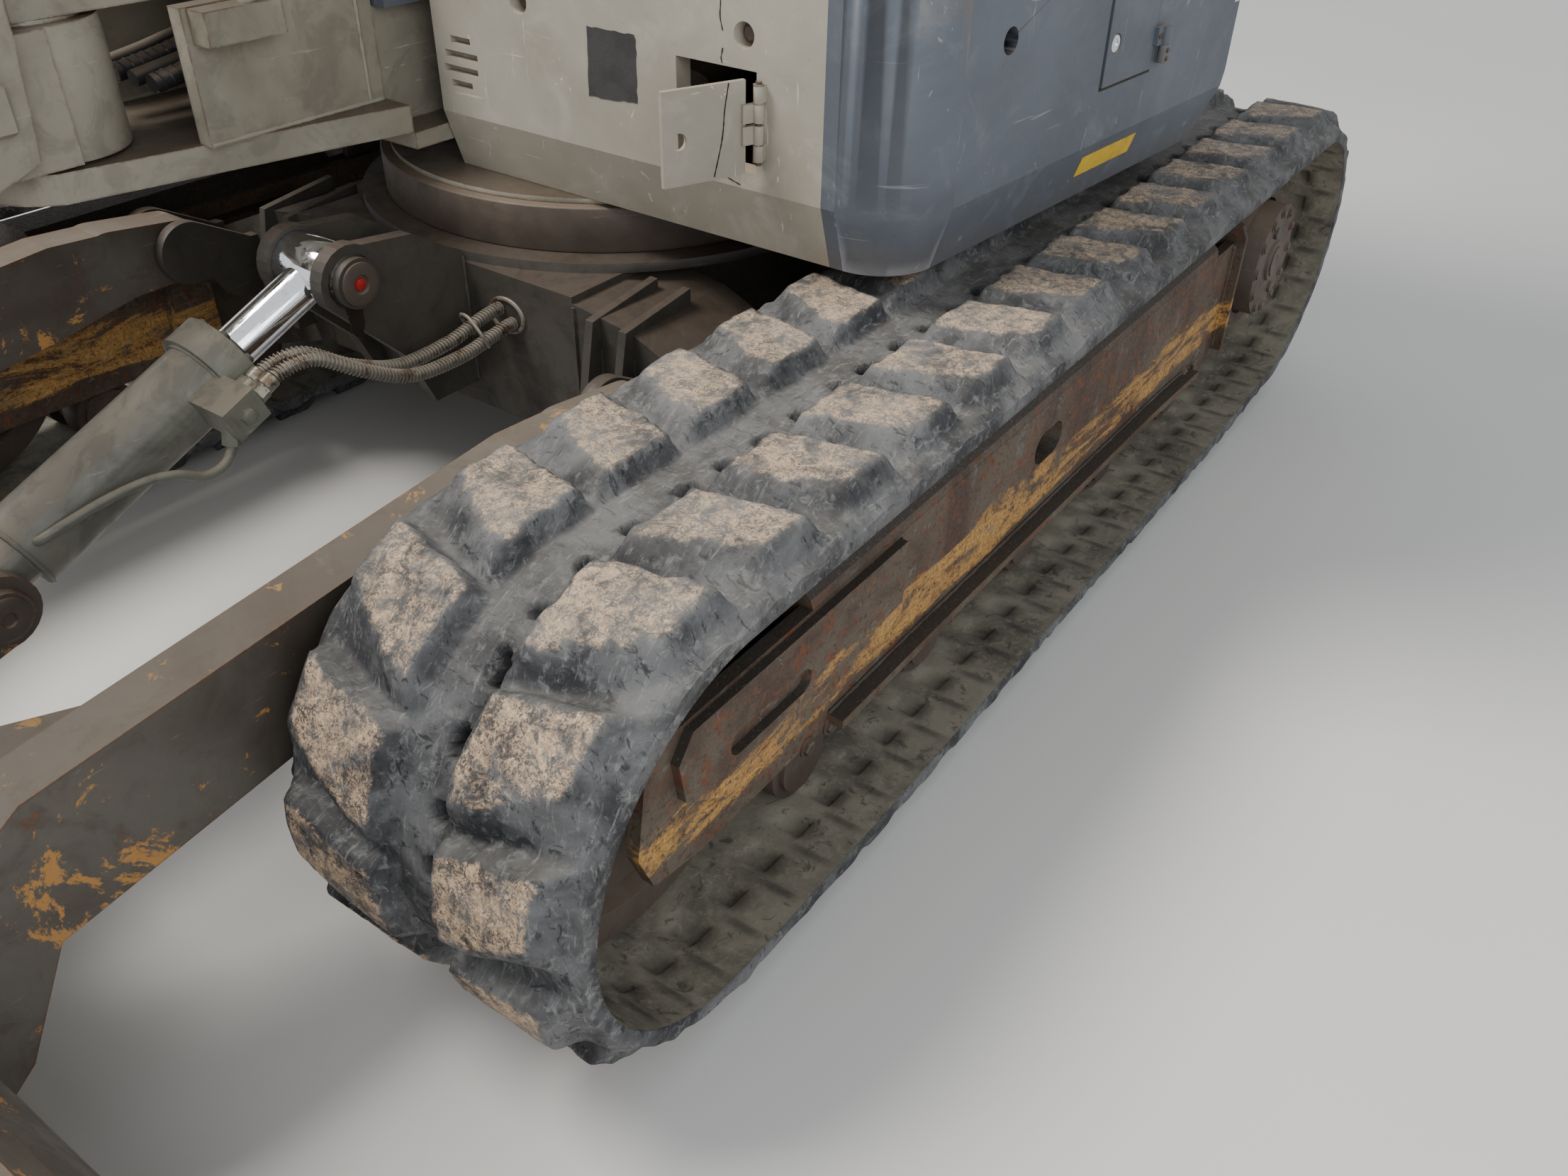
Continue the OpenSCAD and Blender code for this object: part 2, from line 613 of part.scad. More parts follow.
// Wall behind the cab, with the hood's hinge, and the closed cover beside the cab
module rear_cover() {
    color([0.38, 0.46, 0.52]) {
        intersection() {
            box(hood_x + 4, hood_x + 32, -439.7, house_half, deck_z, 1400);
            cylinder(r = tail_r - 12, h = 1500, $fn = tail_n);
        }
        for (y = [-422, 278]) slab(y, y + 21.6)
            polygon(concat([[hood_x + 4, 1425], [hood_x + 4, 1399], [hood_x + 32, 1399]],
                           [for (a = [-30:30:210]) polar(hood_pin, 14, a)]));
        slab(-414, -80) polygon([[-550, 860.2], [385, 860.2], [385, 1010], [330, 1085], [-660, 1085],
                                 [-660, deck_z], [-550, deck_z]]);
    }
}
module counterweight() {
    color([0.30, 0.32, 0.34]) difference() {
        translate([0, 0, 690.2]) linear_extrude(deck_z - 690.5) tail_plan(tail_r);
        translate([0, 0, 689]) linear_extrude(70) difference() {
            tail_plan(tail_r + 5);
            circle(r = tail_r - 45, $fn = tail_n);
        }
        // bay for the engine
        translate([0, 0, 689]) linear_extrude(400) intersection() {
            circle(r = tail_r - 110, $fn = tail_n);
            translate([-1300, 150 - house_half]) square([1300, 2 * house_half - 300]);
        }
        // eyes in the lower corners
        for (y = [-560, 560]) translate([-tail_r - 50, y, 840]) rotate([90, 0, 90]) cylinder(r = 28, h = 392);
    }
}
module hood() {
    color([0.38, 0.46, 0.52]) {
        difference() {
            translate([0, 0, deck_z + 6]) linear_extrude(1414 - deck_z) tail_plan(tail_r - 12, hood_x);
            translate([0, 0, deck_z]) linear_extrude(1390 - deck_z) intersection() {
                circle(r = tail_r - 42, $fn = tail_n);
                translate([-1300, 100 - house_half]) square([1300, 2 * house_half - 200]);
            }
            for (k = [0:4])
                box(-tail_r - 50, -tail_r + 150, -300 + 130 * k, -220 + 130 * k, deck_z + 60, 1320);
        }
        for (y = [-400, 300]) slab(y, y + 60) {
            translate(hood_pin) circle(r = 12);
            translate([hood_pin[0] - 24, 1416]) square([30, 20]);
        }
    }
}
module engine() {
    color([0.25, 0.25, 0.27]) {
        box(-855, -560, -330, 340, 860.2, 1040);
        translate([-790, 25, 1039]) cylinder(r = 66, h = 120);
    }
}

// Cab
cab_x0 = -640;
cab_x1 = 330;
cab_y0 = -60;
cab_y1 = 800;
cab_t = 55;
// Side view of the cab, with so much taken off all round
function cab_side(d) = [[cab_x0 + d, deck_z + 0.3 + d], [cab_x1 - 30 - d, deck_z + 0.3 + d],
    [cab_x1 - d, 1300], [cab_x1 - 12 - d, 1700], [cab_x1 - 120 - d, roof_z - 130],
    [cab_x1 - 190 - d, roof_z - 40 - d], [cab_x1 - 270 - d, roof_z - d], [cab_x0 + 90 + d, roof_z - d],
    [cab_x0 + 20 + d, roof_z - 60 - d], [cab_x0 + d, 1500]];
win_right = [[[-560, 1420], [-40, 1420], [-40, 2330], [-530, 2330]],
             [[30, 1330], [262, 1330], [250, 1700], [165, 2330], [30, 2330]]];
doorway = [[-575, 1130], [255, 1130], [272, 1300], [262, 1700], [160, 2370], [-555, 2370],
           [-575, 1500]];
module cab_frame() {
    color([0.70, 0.68, 0.62]) difference() {
        slab(cab_y0, cab_y1) polygon(cab_side(0));
        slab(cab_y0 + 45, cab_y1 - 45) polygon(cab_side(cab_t));
        // front window, one opening from the sill to the roof
        box(120, 400, cab_y0 + 75, cab_y1 - 75, 1330, 2350);
        box(cab_x0 - 20, cab_x0 + 70, cab_y0 + 90, cab_y1 - 90, 1480, 2330);
        box(-420, 60, cab_y0 + 160, cab_y1 - 160, roof_z - 80, roof_z + 20);
        slab(cab_y0 - 10, cab_y0 + 60) for (w = win_right) polygon(w);
        slab(cab_y1 - 60, cab_y1 + 10) polygon(doorway);
    }
    // fixed eyes of the door's hinges
    color([0.70, 0.68, 0.62]) for (z = door_eyes) {
        translate([door_pin[0], door_pin[1], z - 26]) cylinder(r = 12, h = 25.7);
        box(door_pin[0] - 8, door_pin[0] + 8, cab_y1 - 1, door_pin[1] - 2, z - 26, z - 0.3);
    }
    // pad for a beacon
    color([0.70, 0.68, 0.62]) translate([-485, chair_y, roof_z - 1]) cylinder(r = 50, h = 9);
    color([0.16, 0.16, 0.17])
        box(cab_x0 + 60, cab_x1 - 95, cab_y0 + 50, cab_y1 - 50, deck_z + 54, deck_z + 75);
}
module cab_glass() {
    color([0.55, 0.68, 0.70, 0.5]) {
        intersection() {
            slab(cab_y0 + 75.3, cab_y1 - 75.3) difference() {
                polygon(cab_side(14));
                polygon(cab_side(20));
            }
            box(120, 400, cab_y0, cab_y1, 1330.3, 2349.7);
        }
        box(cab_x0 + 20, cab_x0 + 26, cab_y0 + 90.3, cab_y1 - 90.3, 1480.3, 2329.7);
        box(-419.7, 59.7, cab_y0 + 160.3, cab_y1 - 160.3, roof_z - 30, roof_z - 24);
        slab(cab_y0 + 18, cab_y0 + 24) for (w = win_right) offset_poly(w);
    }
}
// An outline drawn in by a hair towards its middle
module offset_poly(w) {
    m = [for (k = [0:1]) let (v = [for (p = w) p[k]]) (max(v) + min(v)) / 2];
    polygon([for (p = w) m + (p - m) * 0.999]);
}
door_pin = [-600, cab_y1 + 20];
door_eyes = [1330, 2130];
module cab_door() {
    color([0.70, 0.68, 0.62]) {
        slab(cab_y1 - 40, cab_y1 - 4) difference() {
            offset_by(doorway, 0.986);
            offset_by(doorway, 0.86);
        }
        slab(cab_y1 - 40, cab_y1 - 4) polygon([[-520, 1560], [236, 1560], [236, 1640], [-520, 1640]]);
        for (z = door_eyes) {
            translate([door_pin[0], door_pin[1], z]) cylinder(r = 12, h = 90);
            box(door_pin[0], -534, cab_y1 + 2, door_pin[1], z, z + 90);
            box(-555, -534, cab_y1 - 6, cab_y1 + 3, z, z + 90);
        }
        box(150, 205, cab_y1 - 5, cab_y1 + 25, 1590, 1612);
    }
}
module offset_by(w, k) {
    m = [for (i = [0:1]) let (v = [for (p = w) p[i]]) (max(v) + min(v)) / 2];
    polygon([for (p = w) m + (p - m) * k]);
}
module door_glass() {
    color([0.55, 0.68, 0.70, 0.5]) slab(cab_y1 - 26, cab_y1 - 20) difference() {
        offset_by(doorway, 0.858);
        polygon([[-540, 1558], [260, 1558], [260, 1642], [-540, 1642]]);
    }
}
chair_y = (cab_y0 + cab_y1) / 2;
module chair() {
    color([0.14, 0.14, 0.15]) {
        box(-400, -40, chair_y - 180, chair_y + 180, deck_z + 75.2, 1330);
        slab(chair_y - 235, chair_y + 235)
            polygon([[-420, 1330], [60, 1330], [85, 1370], [70, 1425], [20, 1440], [-420, 1415]]);
        slab(chair_y - 225, chair_y + 225)
            polygon([[-440, 1400], [-340, 1420], [-375, 1800], [-410, 1960], [-470, 1970], [-490, 1940]]);
        for (y = [-70, 50]) box(-450, -438, chair_y + y, chair_y + y + 20, 1950, 2000);
        slab(chair_y - 130, chair_y + 130)
            polygon([[-480, 1985], [-410, 1985], [-420, 2120], [-470, 2120]]);
    }
}
module consoles() {
    color([0.18, 0.18, 0.19]) {
        for (y = [chair_y - 330, chair_y + 245]) {
            box(-330, 60, y, y + 85, deck_z + 75.2, 1500);
            translate([0, y + 42, 1499]) cylinder(r1 = 30, r2 = 12, h = 60);
            translate([0, y + 42, 1558]) cylinder(r = 9, h = 70);
            translate([0, y + 42, 1620]) cylinder(r = 22, h = 90);
        }
        // travel levers and pedals
        for (y = [chair_y - 75, chair_y + 45]) {
            slab(y, y + 24) polygon([[160, deck_z + 75.2], [190, deck_z + 75.2], [140, 1620], [118, 1620]]);
            translate([129, y + 12, 1615]) cylinder(r = 17, h = 110);
            box(110, 220, y - 22, y + 46, deck_z + 75.2, 1150);
        }
        // display on its stalk, in the front right corner
        box(120, 150, 40, 60, deck_z + 75.2, 1640);
        box(95, 135, 20, 190, 1640, 1760);
    }
}
module cab_trim() {
    color([0.13, 0.13, 0.14]) {
        // rail beside the doorway
        slab(cab_y1 + 28, cab_y1 + 46) polygon([[283, 1400], [301, 1400], [298, 1900], [280, 1900]]);
        for (z = [1420, 1860]) box(284, 298, cab_y1 + 0.3, cab_y1 + 30, z, z + 16);
        // lamps over the windscreen
        for (y = [60, 600]) {
            box(-10, 60, y, y + 90, roof_z + 12, roof_z + 72);
            box(10, 40, y + 30, y + 60, roof_z + 0.2, roof_z + 13);
        }
        // rails over the right cover
        for (p = [[-560, 1298.5], [100, 1294]])
            translate([p[0], -700, p[1]]) cylinder(r = 12, h = 1423.5 - p[1]);
        translate([-572, -700, 1415]) rotate([0, 90, 0]) cylinder(r = 12, h = 684);
        // exhaust at the rear
        translate([-630, -560, 1302.9]) cylinder(r = 34, h = 310);
    }
}

// Swing post and digging arm
boom_pin = [1100, 780];
boom_turn = 18.27;
boom_len = 2800;
arm_turn = -104;
arm_len = 1450;
head = [1130, 355];
arm_base = [1330, 815];
function spin(p, a) = [p[0] * cos(a) - p[1] * sin(a), p[0] * sin(a) + p[1] * cos(a)];
function on_boom(p) = foot + spin(p, boom_turn);
tip = on_boom([boom_len, 0]);
function on_arm(p) = tip + spin(p, arm_turn);
tail = [-338.7, -29.6];
bucket_base = [150, 205];
rock = [arm_len - 290, 20];
rock_turn = 41;
link_r = 230;
joint = rock + link_r * [cos(rock_turn), sin(rock_turn)];
knuckle = [arm_len, 0];
ear = knuckle + link_r * [cos(rock_turn), sin(rock_turn)];
cy = swing[1];

module swing_bracket() {
    color([0.66, 0.63, 0.57]) {
        translate([swing[0], cy, 735]) cylinder(r = 96, h = 165);
        translate([swing[0], cy, 730.3]) cylinder(r = 78, h = 174.4);
        difference() {
            slab(cy - 103, cy + 103)
                polygon([[840, 735], [962, 735], [970, 705], [1000, 705], [1012, 740], [1012, 860],
                         [1000, 920], [935, 925], [928, 900], [840, 900]]);
            // openings for the hoses
            translate([960, cy - 55, 690]) cylinder(r = 34, h = 250);
            translate([960, cy + 55, 690]) cylinder(r = 34, h = 250);
        }
        for (y = [cy - 130, cy + 103]) slab(y, y + 27)
            polygon(concat([[905, 760], [1010, 720], [1030, 800]],
                           [for (a = [0:20:180]) polar(foot, 60, a)], [[892, 900]]));
        for (y = [cy - 72, cy + 46]) slab(y, y + 26) bar2([985, 780], boom_pin, 72, 46);
        for (y = [cy - 146, cy + 130]) pin(foot[0], foot[1], 38, y, y + 16);
        for (y = [cy - 82, cy + 72]) pin(boom_pin[0], boom_pin[1], 30, y, y + 10);
    }
}
module bracket_hoses() {
    color([0.10, 0.10, 0.10]) for (k = [0:3])
        tube([[417, cy - 60 + 40 * k, 820], [480, cy - 62 + 41 * k, 826], [560, cy - 64 + 43 * k, 822],
              [630, cy - 65 + 44 * k, 810], [700, cy - 66 + 44 * k, 800]], 14);
}
module boom() {
    color([0.66, 0.63, 0.57]) translate([foot[0], cy, foot[1]]) rotate([0, -boom_turn, 0]) {
        difference() {
            slab(-boom_w / 2, boom_w / 2)
                polygon(concat([for (a = [110:20:270]) polar([0, 0], 60, a)],
                               [[60, -48], [300, 96], [600, 244], [900, 358], [1060, 420], [1230, 452],
                                [1380, 425], [1500, 380], [2450, -16], [2450, 128], [1450, 690],
                                [1330, 745], [1180, 760], [1000, 738], [800, 665], [350, 385]]));
            // pocket of the cylinder's eye, then its shallow run along the belly
            slab(-47, 47) polygon([for (a = [0:15:345]) polar(head, 170, a)]);
            slab(-47, 47) polygon([[700, 250], [740, 338], [1000, 446], [1060, 500], [1130, 400], [1000, 330]]);
        }
        pin(0, 0, 52, -102.7, 102.7);
        for (y = [-98, 72]) slab(y, y + 26) {
            polygon([[2360, 22], [2560, -62], [2790, -72], [2790, 72], [2570, 60], [2360, 178]]);
            translate([boom_len, 0]) circle(r = 76);
        }
        for (y = [-98, 72]) slab(y, y + 26) bar2([1130, 460], head, 90, 50);
        // lugs of the arm cylinder
        for (y = [-72, 46]) slab(y, y + 26) polygon(concat([[1170, 755], [1400, 705]],
            [for (a = [0:20:180]) polar(arm_base, 46, a)]));
        for (y = [-112, 98]) pin(boom_len, 0, 40, y, y + 14);
        for (y = [-112, 98]) pin(head[0], head[1], 34, y, y + 14);
        for (y = [-82, 72]) pin(arm_base[0], arm_base[1], 30, y, y + 10);
        // lamp under the bend
        slab(boom_w / 2, boom_w / 2 + 60) polygon([[1100, 560], [1180, 560], [1180, 640], [1100, 640]]);
    }
}
module boom_lines() {
    color([0.12, 0.12, 0.12]) translate([foot[0], cy, foot[1]]) rotate([0, -boom_turn, 0])
        for (y = [-60, -20, 20, 60])
            tube([[330, y, 385], [420, y, 440], [620, y, 568], [800, y, 682], [1000, y, 757],
                  [1100, y, 771], [1150, y, 776]], 9, 6);
}
module cylinder_barrel(a, b, r, s1, eye_w) {
    difference() {
        union() {
            rod_piece(a, b, 0, eye_w - 4, 20, 80);
            rod_piece(a, b, 0, r, 76, s1 - 50);
            rod_piece(a, b, 0, r + 8, s1 - 50, s1);
        }
        rod_piece(a, b, 0, r * 0.56 + 0.3, 100, s1 + 10);
    }
    pin(a[0], a[1], 44, -eye_w, eye_w);
}
module cylinder_rod(a, b, r, s0, eye_w) {
    rod_piece(a, b, 0, r * 0.56, s0, norm(b - a) - 30);
    pin(b[0], b[1], 44, -eye_w, eye_w);
}
head_w = on_boom(head);
base_w = on_boom(arm_base);
tail_w = on_arm(tail);
bucket_base_w = on_arm(bucket_base);
joint_w = on_arm(joint);
module boom_barrel() {
    color([0.60, 0.58, 0.53]) translate([0, cy, 0]) cylinder_barrel(boom_pin, head_w, 52, 780, 45.7);
}
module boom_rod() {
    color([0.78, 0.79, 0.80]) translate([0, cy, 0]) cylinder_rod(boom_pin, head_w, 52, 330, 45.7);
}
module arm_barrel() {
    color([0.60, 0.58, 0.53]) translate([0, cy, 0]) cylinder_barrel(base_w, tail_w, 54, 1190, 45.7);
}
module arm_rod() {
    color([0.78, 0.79, 0.80]) translate([0, cy, 0]) cylinder_rod(base_w, tail_w, 54, 640, 45.7);
}
module bucket_barrel() {
    color([0.60, 0.58, 0.53]) translate([0, cy, 0]) cylinder_barrel(bucket_base_w, joint_w, 50, 730, 35.7);
}
module bucket_rod() {
    color([0.78, 0.79, 0.80]) translate([0, cy, 0]) cylinder_rod(bucket_base_w, joint_w, 50, 490, 41.7);
}
module arm() {
    color([0.66, 0.63, 0.57]) translate([tip[0], cy, tip[1]]) rotate([0, -arm_turn, 0]) {
        difference() {
            slab(-67, 67) polygon(concat([[-80, -60], [0, -84], [300, -112]],
                [for (a = [-90:18:90]) polar(knuckle, 54, a)],
                [[330, 128], [60, 124], [-40, 76], [-90, 40]]));
            slab(-30, 30) polygon([[1350, -90], [1520, -90], [1520, 90], [1350, 90]]);
        }
        for (y = [-64, 46]) slab(y, y + 18) polygon(concat([[10, -72], [10, 70]],
            [for (a = [100:16:260]) polar(tail, 50, a)]));
        for (y = [-56, 36]) slab(y, y + 20) polygon(concat([[232, 90], [80, 90]],
            [for (a = [160:-20:20]) polar(bucket_base, 44, a)]));
        for (y = [-74, 63.5]) pin(tail[0], tail[1], 30, y, y + 10.5);
        pin(0, 0, 66, -71.7, 71.7);
        for (y = [-81.7, 66]) {
            pin(rock[0], rock[1], 32, y, y + 15.7);
            pin(knuckle[0], knuckle[1], 46, y, y + 15.7);
        }
    }
}
// Side links that carry the rod's end
module rocker() {
    color([0.60, 0.57, 0.52]) translate([tip[0], cy, tip[1]]) rotate([0, -arm_turn, 0])
        for (y = [-104, 82]) slab(y, y + 22) bar2(rock, joint, 42, 42);
}
module tipping_link() {
    color([0.60, 0.57, 0.52]) translate([tip[0], cy, tip[1]]) rotate([0, -arm_turn, 0]) {
        for (y = [-81.7, 42]) slab(y, y + 39.7) bar2(joint, ear, 40, 40);
        slab(-42, 42) polygon([for (p = [[-52, -26], [52, -26], [52, 26], [-52, 26]])
                               joint + (ear - joint) * 0.62 + p]);
    }
}
// Bucket: outlines in its own plane, from its pin, with the ears up
function in_bucket(p) = knuckle + spin(p, rock_turn - 105);
bucket_shell = [[800, 30], [640, 225], [470, 362], [290, 408], [165, 380], [95, 290], [78, 150],
                [76, -60]];
ear_b = [link_r * cos(105), link_r * sin(105)];
function ring_in(w, t) = [for (i = [0:len(w) - 1])
    let (a = w[max(i - 1, 0)], b = w[min(i + 1, len(w) - 1)], d = (b - a) / norm(b - a))
    w[i] + t * [-d[1], d[0]]];
bucket_inner = ring_in(bucket_shell, 14);
module bucket() {
    color([0.32, 0.29, 0.26]) translate([tip[0], cy, tip[1]]) rotate([0, -arm_turn, 0])
        translate([knuckle[0], 0, knuckle[1]]) rotate([0, 105 - rock_turn, 0]) {
            slab(-bucket_w / 2, bucket_w / 2)
                polygon(concat(bucket_shell, [for (i = [len(bucket_shell) - 1:-1:0]) bucket_inner[i]]));
            for (y = [-bucket_w / 2, bucket_w / 2 - 14]) slab(y, y + 14)
                polygon(concat(bucket_shell, [[150, -66], [430, -20]]));
            // ears for the arm and the link
            for (y = [-104, 82]) slab(y, y + 22) {
                bar2([0, 0], ear_b, 56, 48);
                polygon([[0, -56], [82, -50], [84, 150], [99, 288], [-59, 270], ear_b]);
            }
            for (y = [-116, 104]) {
                pin(0, 0, 32, y, y + 12);
                pin(ear_b[0], ear_b[1], 28, y, y + 12);
            }
        }
}
module teeth() {
    color([0.45, 0.43, 0.40]) translate([tip[0], cy, tip[1]]) rotate([0, -arm_turn, 0])
        translate([knuckle[0], 0, knuckle[1]]) rotate([0, 105 - rock_turn, 0])
            for (k = [0:3]) translate([0, -bucket_w / 2 + 60 + k * (bucket_w - 120) / 3, 0])
                slab(-30, 30) difference() {
                    polygon([[752, 100], [822, 16], [868, -62], [856, -68], [778, 10], [720, 84]]);
                    polygon(concat(bucket_shell, [for (i = [len(bucket_shell) - 1:-1:0])
                                                  bucket_inner[i]]));
                }
}

carbody();
slew_ring();
frame_left();
frame_right();
track_left();
track_right();
idlers();
sprockets();
rollers();
blade_hoses();
blade();
blade_barrel();
blade_rod();
main_frame();
front_panel();
front_flap();
side_skirt();
side_door();
right_cover();
rear_cover();
counterweight();
hood();
engine();
cab_frame();
cab_glass();
cab_door();
door_glass();
chair();
consoles();
cab_trim();
swing_bracket();
bracket_hoses();
boom();
boom_lines();
boom_barrel();
boom_rod();
arm();
arm_barrel();
arm_rod();
bucket_barrel();
bucket_rod();
rocker();
tipping_link();
bucket();
teeth();
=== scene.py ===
import math

import bpy
import numpy as np
from mathutils import Matrix, Vector


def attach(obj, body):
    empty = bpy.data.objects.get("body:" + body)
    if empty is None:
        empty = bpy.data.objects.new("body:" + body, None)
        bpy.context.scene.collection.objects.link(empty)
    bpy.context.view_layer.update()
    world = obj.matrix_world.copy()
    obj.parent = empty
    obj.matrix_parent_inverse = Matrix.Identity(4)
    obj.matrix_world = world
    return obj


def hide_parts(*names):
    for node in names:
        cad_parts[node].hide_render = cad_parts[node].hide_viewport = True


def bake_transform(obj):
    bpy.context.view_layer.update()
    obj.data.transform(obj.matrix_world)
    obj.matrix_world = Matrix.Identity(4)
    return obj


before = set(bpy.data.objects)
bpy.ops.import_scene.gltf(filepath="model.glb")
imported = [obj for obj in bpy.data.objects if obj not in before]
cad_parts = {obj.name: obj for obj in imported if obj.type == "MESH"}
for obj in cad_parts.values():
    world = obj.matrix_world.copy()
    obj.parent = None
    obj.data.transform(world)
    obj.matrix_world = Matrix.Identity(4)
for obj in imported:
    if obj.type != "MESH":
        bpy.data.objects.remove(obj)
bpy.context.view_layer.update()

scene = bpy.context.scene
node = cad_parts
rng = np.random.default_rng(11)


# Camera and light

# The photo's camera, fitted to the belt's lugs: place in metres, turns, focal length in pixels
EYE = Vector((1.6869, 1.5248, 1.2901))
AZIMUTH, ELEVATION, ROLL = (math.radians(a) for a in (-145.906, -36.253, 1.474))
FOCAL_PX, PHOTO_WIDTH_PX, SENSOR_MM = 1803.52, 2212, 36

SKY, BACKDROP = (0.50, 0.53, 0.57, 1), (0.93, 0.93, 0.92, 1)
# Name, place, diameter, watts and colour of each lamp, and the point that all look at
LAMPS = (("key", (3.0, -2.6, 6.8), 3.0, 560, (1.0, 0.97, 0.93)),
    ("fill", (3.5, 5.5, 3.2), 4.0, 120, (0.95, 0.98, 1.0)))
LIT_POINT = Vector((0.6, 0.2, 0.4))


def make_camera():
    flat = math.cos(ELEVATION)
    ahead = Vector((flat * math.cos(AZIMUTH), flat * math.sin(AZIMUTH), math.sin(ELEVATION)))
    right = ahead.cross(Vector((0, 0, 1))).normalized()
    up = right.cross(ahead)
    c, s = math.cos(ROLL), math.sin(ROLL)
    right, up = c * right + s * up, -s * right + c * up
    data = bpy.data.cameras.new("camera")
    data.sensor_width = SENSOR_MM
    data.lens = SENSOR_MM * FOCAL_PX / PHOTO_WIDTH_PX
    data.clip_start, data.clip_end = 0.02, 200
    cam = bpy.data.objects.new("camera", data)
    cam.matrix_world = Matrix([[right[i], up[i], -ahead[i], EYE[i]] for i in range(3)] + [[0, 0, 0, 1]])
    scene.collection.objects.link(cam)
    scene.camera = cam


def make_light():
    """A dim sky that looks pale to the camera, through glass and in mirrors, and two lamps"""
    world = bpy.data.worlds.new("sky")
    world.use_nodes = True
    t = world.node_tree
    back = t.nodes["Background"]
    path = t.nodes.new("ShaderNodeLightPath")
    seen = t.nodes.new("ShaderNodeMath")
    seen.use_clamp = True
    beyond = t.nodes.new("ShaderNodeMath")
    mix = t.nodes.new("ShaderNodeMix")
    mix.data_type = "RGBA"
    mix.inputs["A"].default_value = SKY
    mix.inputs["B"].default_value = BACKDROP
    for a, b in ((path.outputs["Is Transmission Ray"], beyond.inputs[0]),
            (path.outputs["Is Glossy Ray"], beyond.inputs[1]),
            (path.outputs["Is Camera Ray"], seen.inputs[0]),
            (beyond.outputs[0], seen.inputs[1]), (seen.outputs[0], mix.inputs["Factor"]),
            (mix.outputs["Result"], back.inputs["Color"])):
        t.links.new(a, b)
    back.inputs["Strength"].default_value = 1.0
    scene.world = world
    for name, place, size, power, colour in LAMPS:
        data = bpy.data.lights.new(name, "AREA")
        data.shape, data.size = "DISK", size
        data.energy, data.color = power, colour
        lamp = bpy.data.objects.new(name, data)
        lamp.location = place
        lamp.rotation_mode = "QUATERNION"
        lamp.rotation_quaternion = (LIT_POINT - Vector(place)).to_track_quat("-Z", "Y")
        scene.collection.objects.link(lamp)


# Materials

class Mat:
    """One material; its methods add nodes and return their output sockets."""

    def __init__(self, name):
        self.m = bpy.data.materials.new(name)
        self.m.use_nodes = True
        self.t = self.m.node_tree
        self.t.nodes.clear()
        self.s = self.add("BsdfPrincipled")
        self.add("OutputMaterial", (self.s.outputs[0],))
        self.co = self.add("TexCoord").outputs["Object"]
        self.x, self.y, self.z = self.add("SeparateXYZ", (self.co,)).outputs
        self.nz = None
        self.last_bump = None

    def add(self, kind, inputs=(), **values):
        """A node with its values set, and its inputs in their order or by name"""
        n = self.t.nodes.new("ShaderNode" + kind)
        for k, v in values.items():
            setattr(n, k, v)
        for k, v in inputs.items() if isinstance(inputs, dict) else enumerate(inputs):
            self.put(n.inputs[k], v)
        return n

    def put(self, socket, value):
        if isinstance(value, bpy.types.NodeSocket):
            self.t.links.new(value, socket)
        elif isinstance(value, tuple) and len(value) == 3 and socket.type == "RGBA":
            socket.default_value = (*value, 1)
        else:
            socket.default_value = value

    def up(self):
        """1 where the surface looks up, -1 where it looks down"""
        if self.nz is None:
            self.nz = self.add("SeparateXYZ", (self.add("NewGeometry").outputs["Normal"],)).outputs[2]
        return self.nz

    def noise(self, scale, detail, rough, stretch=None, warp=0.0):
        co = self.add("Mapping", {"Vector": self.co, "Scale": stretch}).outputs[0] if stretch else self.co
        return self.add("TexNoise", {"Vector": co, "Scale": scale, "Detail": detail, "Roughness": rough,
            "Distortion": warp}).outputs[0]

    def ramp(self, value, lo, hi, a=0.0, b=1.0):
        """Runs smoothly from a to b while the value goes from lo to hi"""
        return self.add("MapRange", (value, lo, hi, a, b), interpolation_type="SMOOTHSTEP").outputs[0]

    def math(self, op, a, b=0.0):
        return self.add("Math", (a, b), operation=op).outputs[0]

    def mul(self, a, b):
        return self.math("MULTIPLY", a, b)

    def plus(self, a, b):
        return self.math("ADD", a, b)

    def mix(self, fac, a, b):
        return self.add("Mix", {"Factor": fac, "A": a, "B": b}, data_type="RGBA").outputs["Result"]

    def over(self, c, colour, where, lo, hi, amount=1.0):
        """Lays a colour over c, from none where the value is lo to the amount where it is hi"""
        return self.mix(self.mul(self.ramp(where, lo, hi), amount), c, colour)

    def edge(self, radius):
        """1 along sharp edges"""
        soft = self.add("Bevel", {"Radius": radius}, samples=4).outputs[0]
        sharp = self.add("NewGeometry").outputs["Normal"]
        dot = self.add("VectorMath", (soft, sharp), operation="DOT_PRODUCT").outputs["Value"]
        return self.ramp(dot, 0.98, 0.75)

    def attr(self, name):
        return self.add("Attribute", attribute_name=name).outputs["Fac"]

    def bump(self, height, strength, depth):
        inputs = {"Strength": strength, "Distance": depth, "Height": height}
        if self.last_bump:
            inputs["Normal"] = self.last_bump
        self.last_bump = self.add("Bump", inputs).outputs[0]

    def done(self, colour, rough, metal=0.0, **more):
        """The finished material; the names of further inputs have _ for a space"""
        more.update(Base_Color=colour, Roughness=rough, Metallic=metal)
        if self.last_bump:
            more["Normal"] = self.last_bump
        for k, v in more.items():
            self.put(self.s.inputs[k.replace("_", " ")], v)
        return self.m


DUST = (0.40, 0.31, 0.22)
ROAD_DUST = (0.30, 0.235, 0.165)
RUST = (0.20, 0.075, 0.028)
OLD_RUST = (0.075, 0.036, 0.022)
CLAY = (0.48, 0.24, 0.065)
GRIME = (0.030, 0.026, 0.022)
# the tone of the painted shade on upward faces
SHADE_ON_TOP = (0.060, 0.040, 0.027)


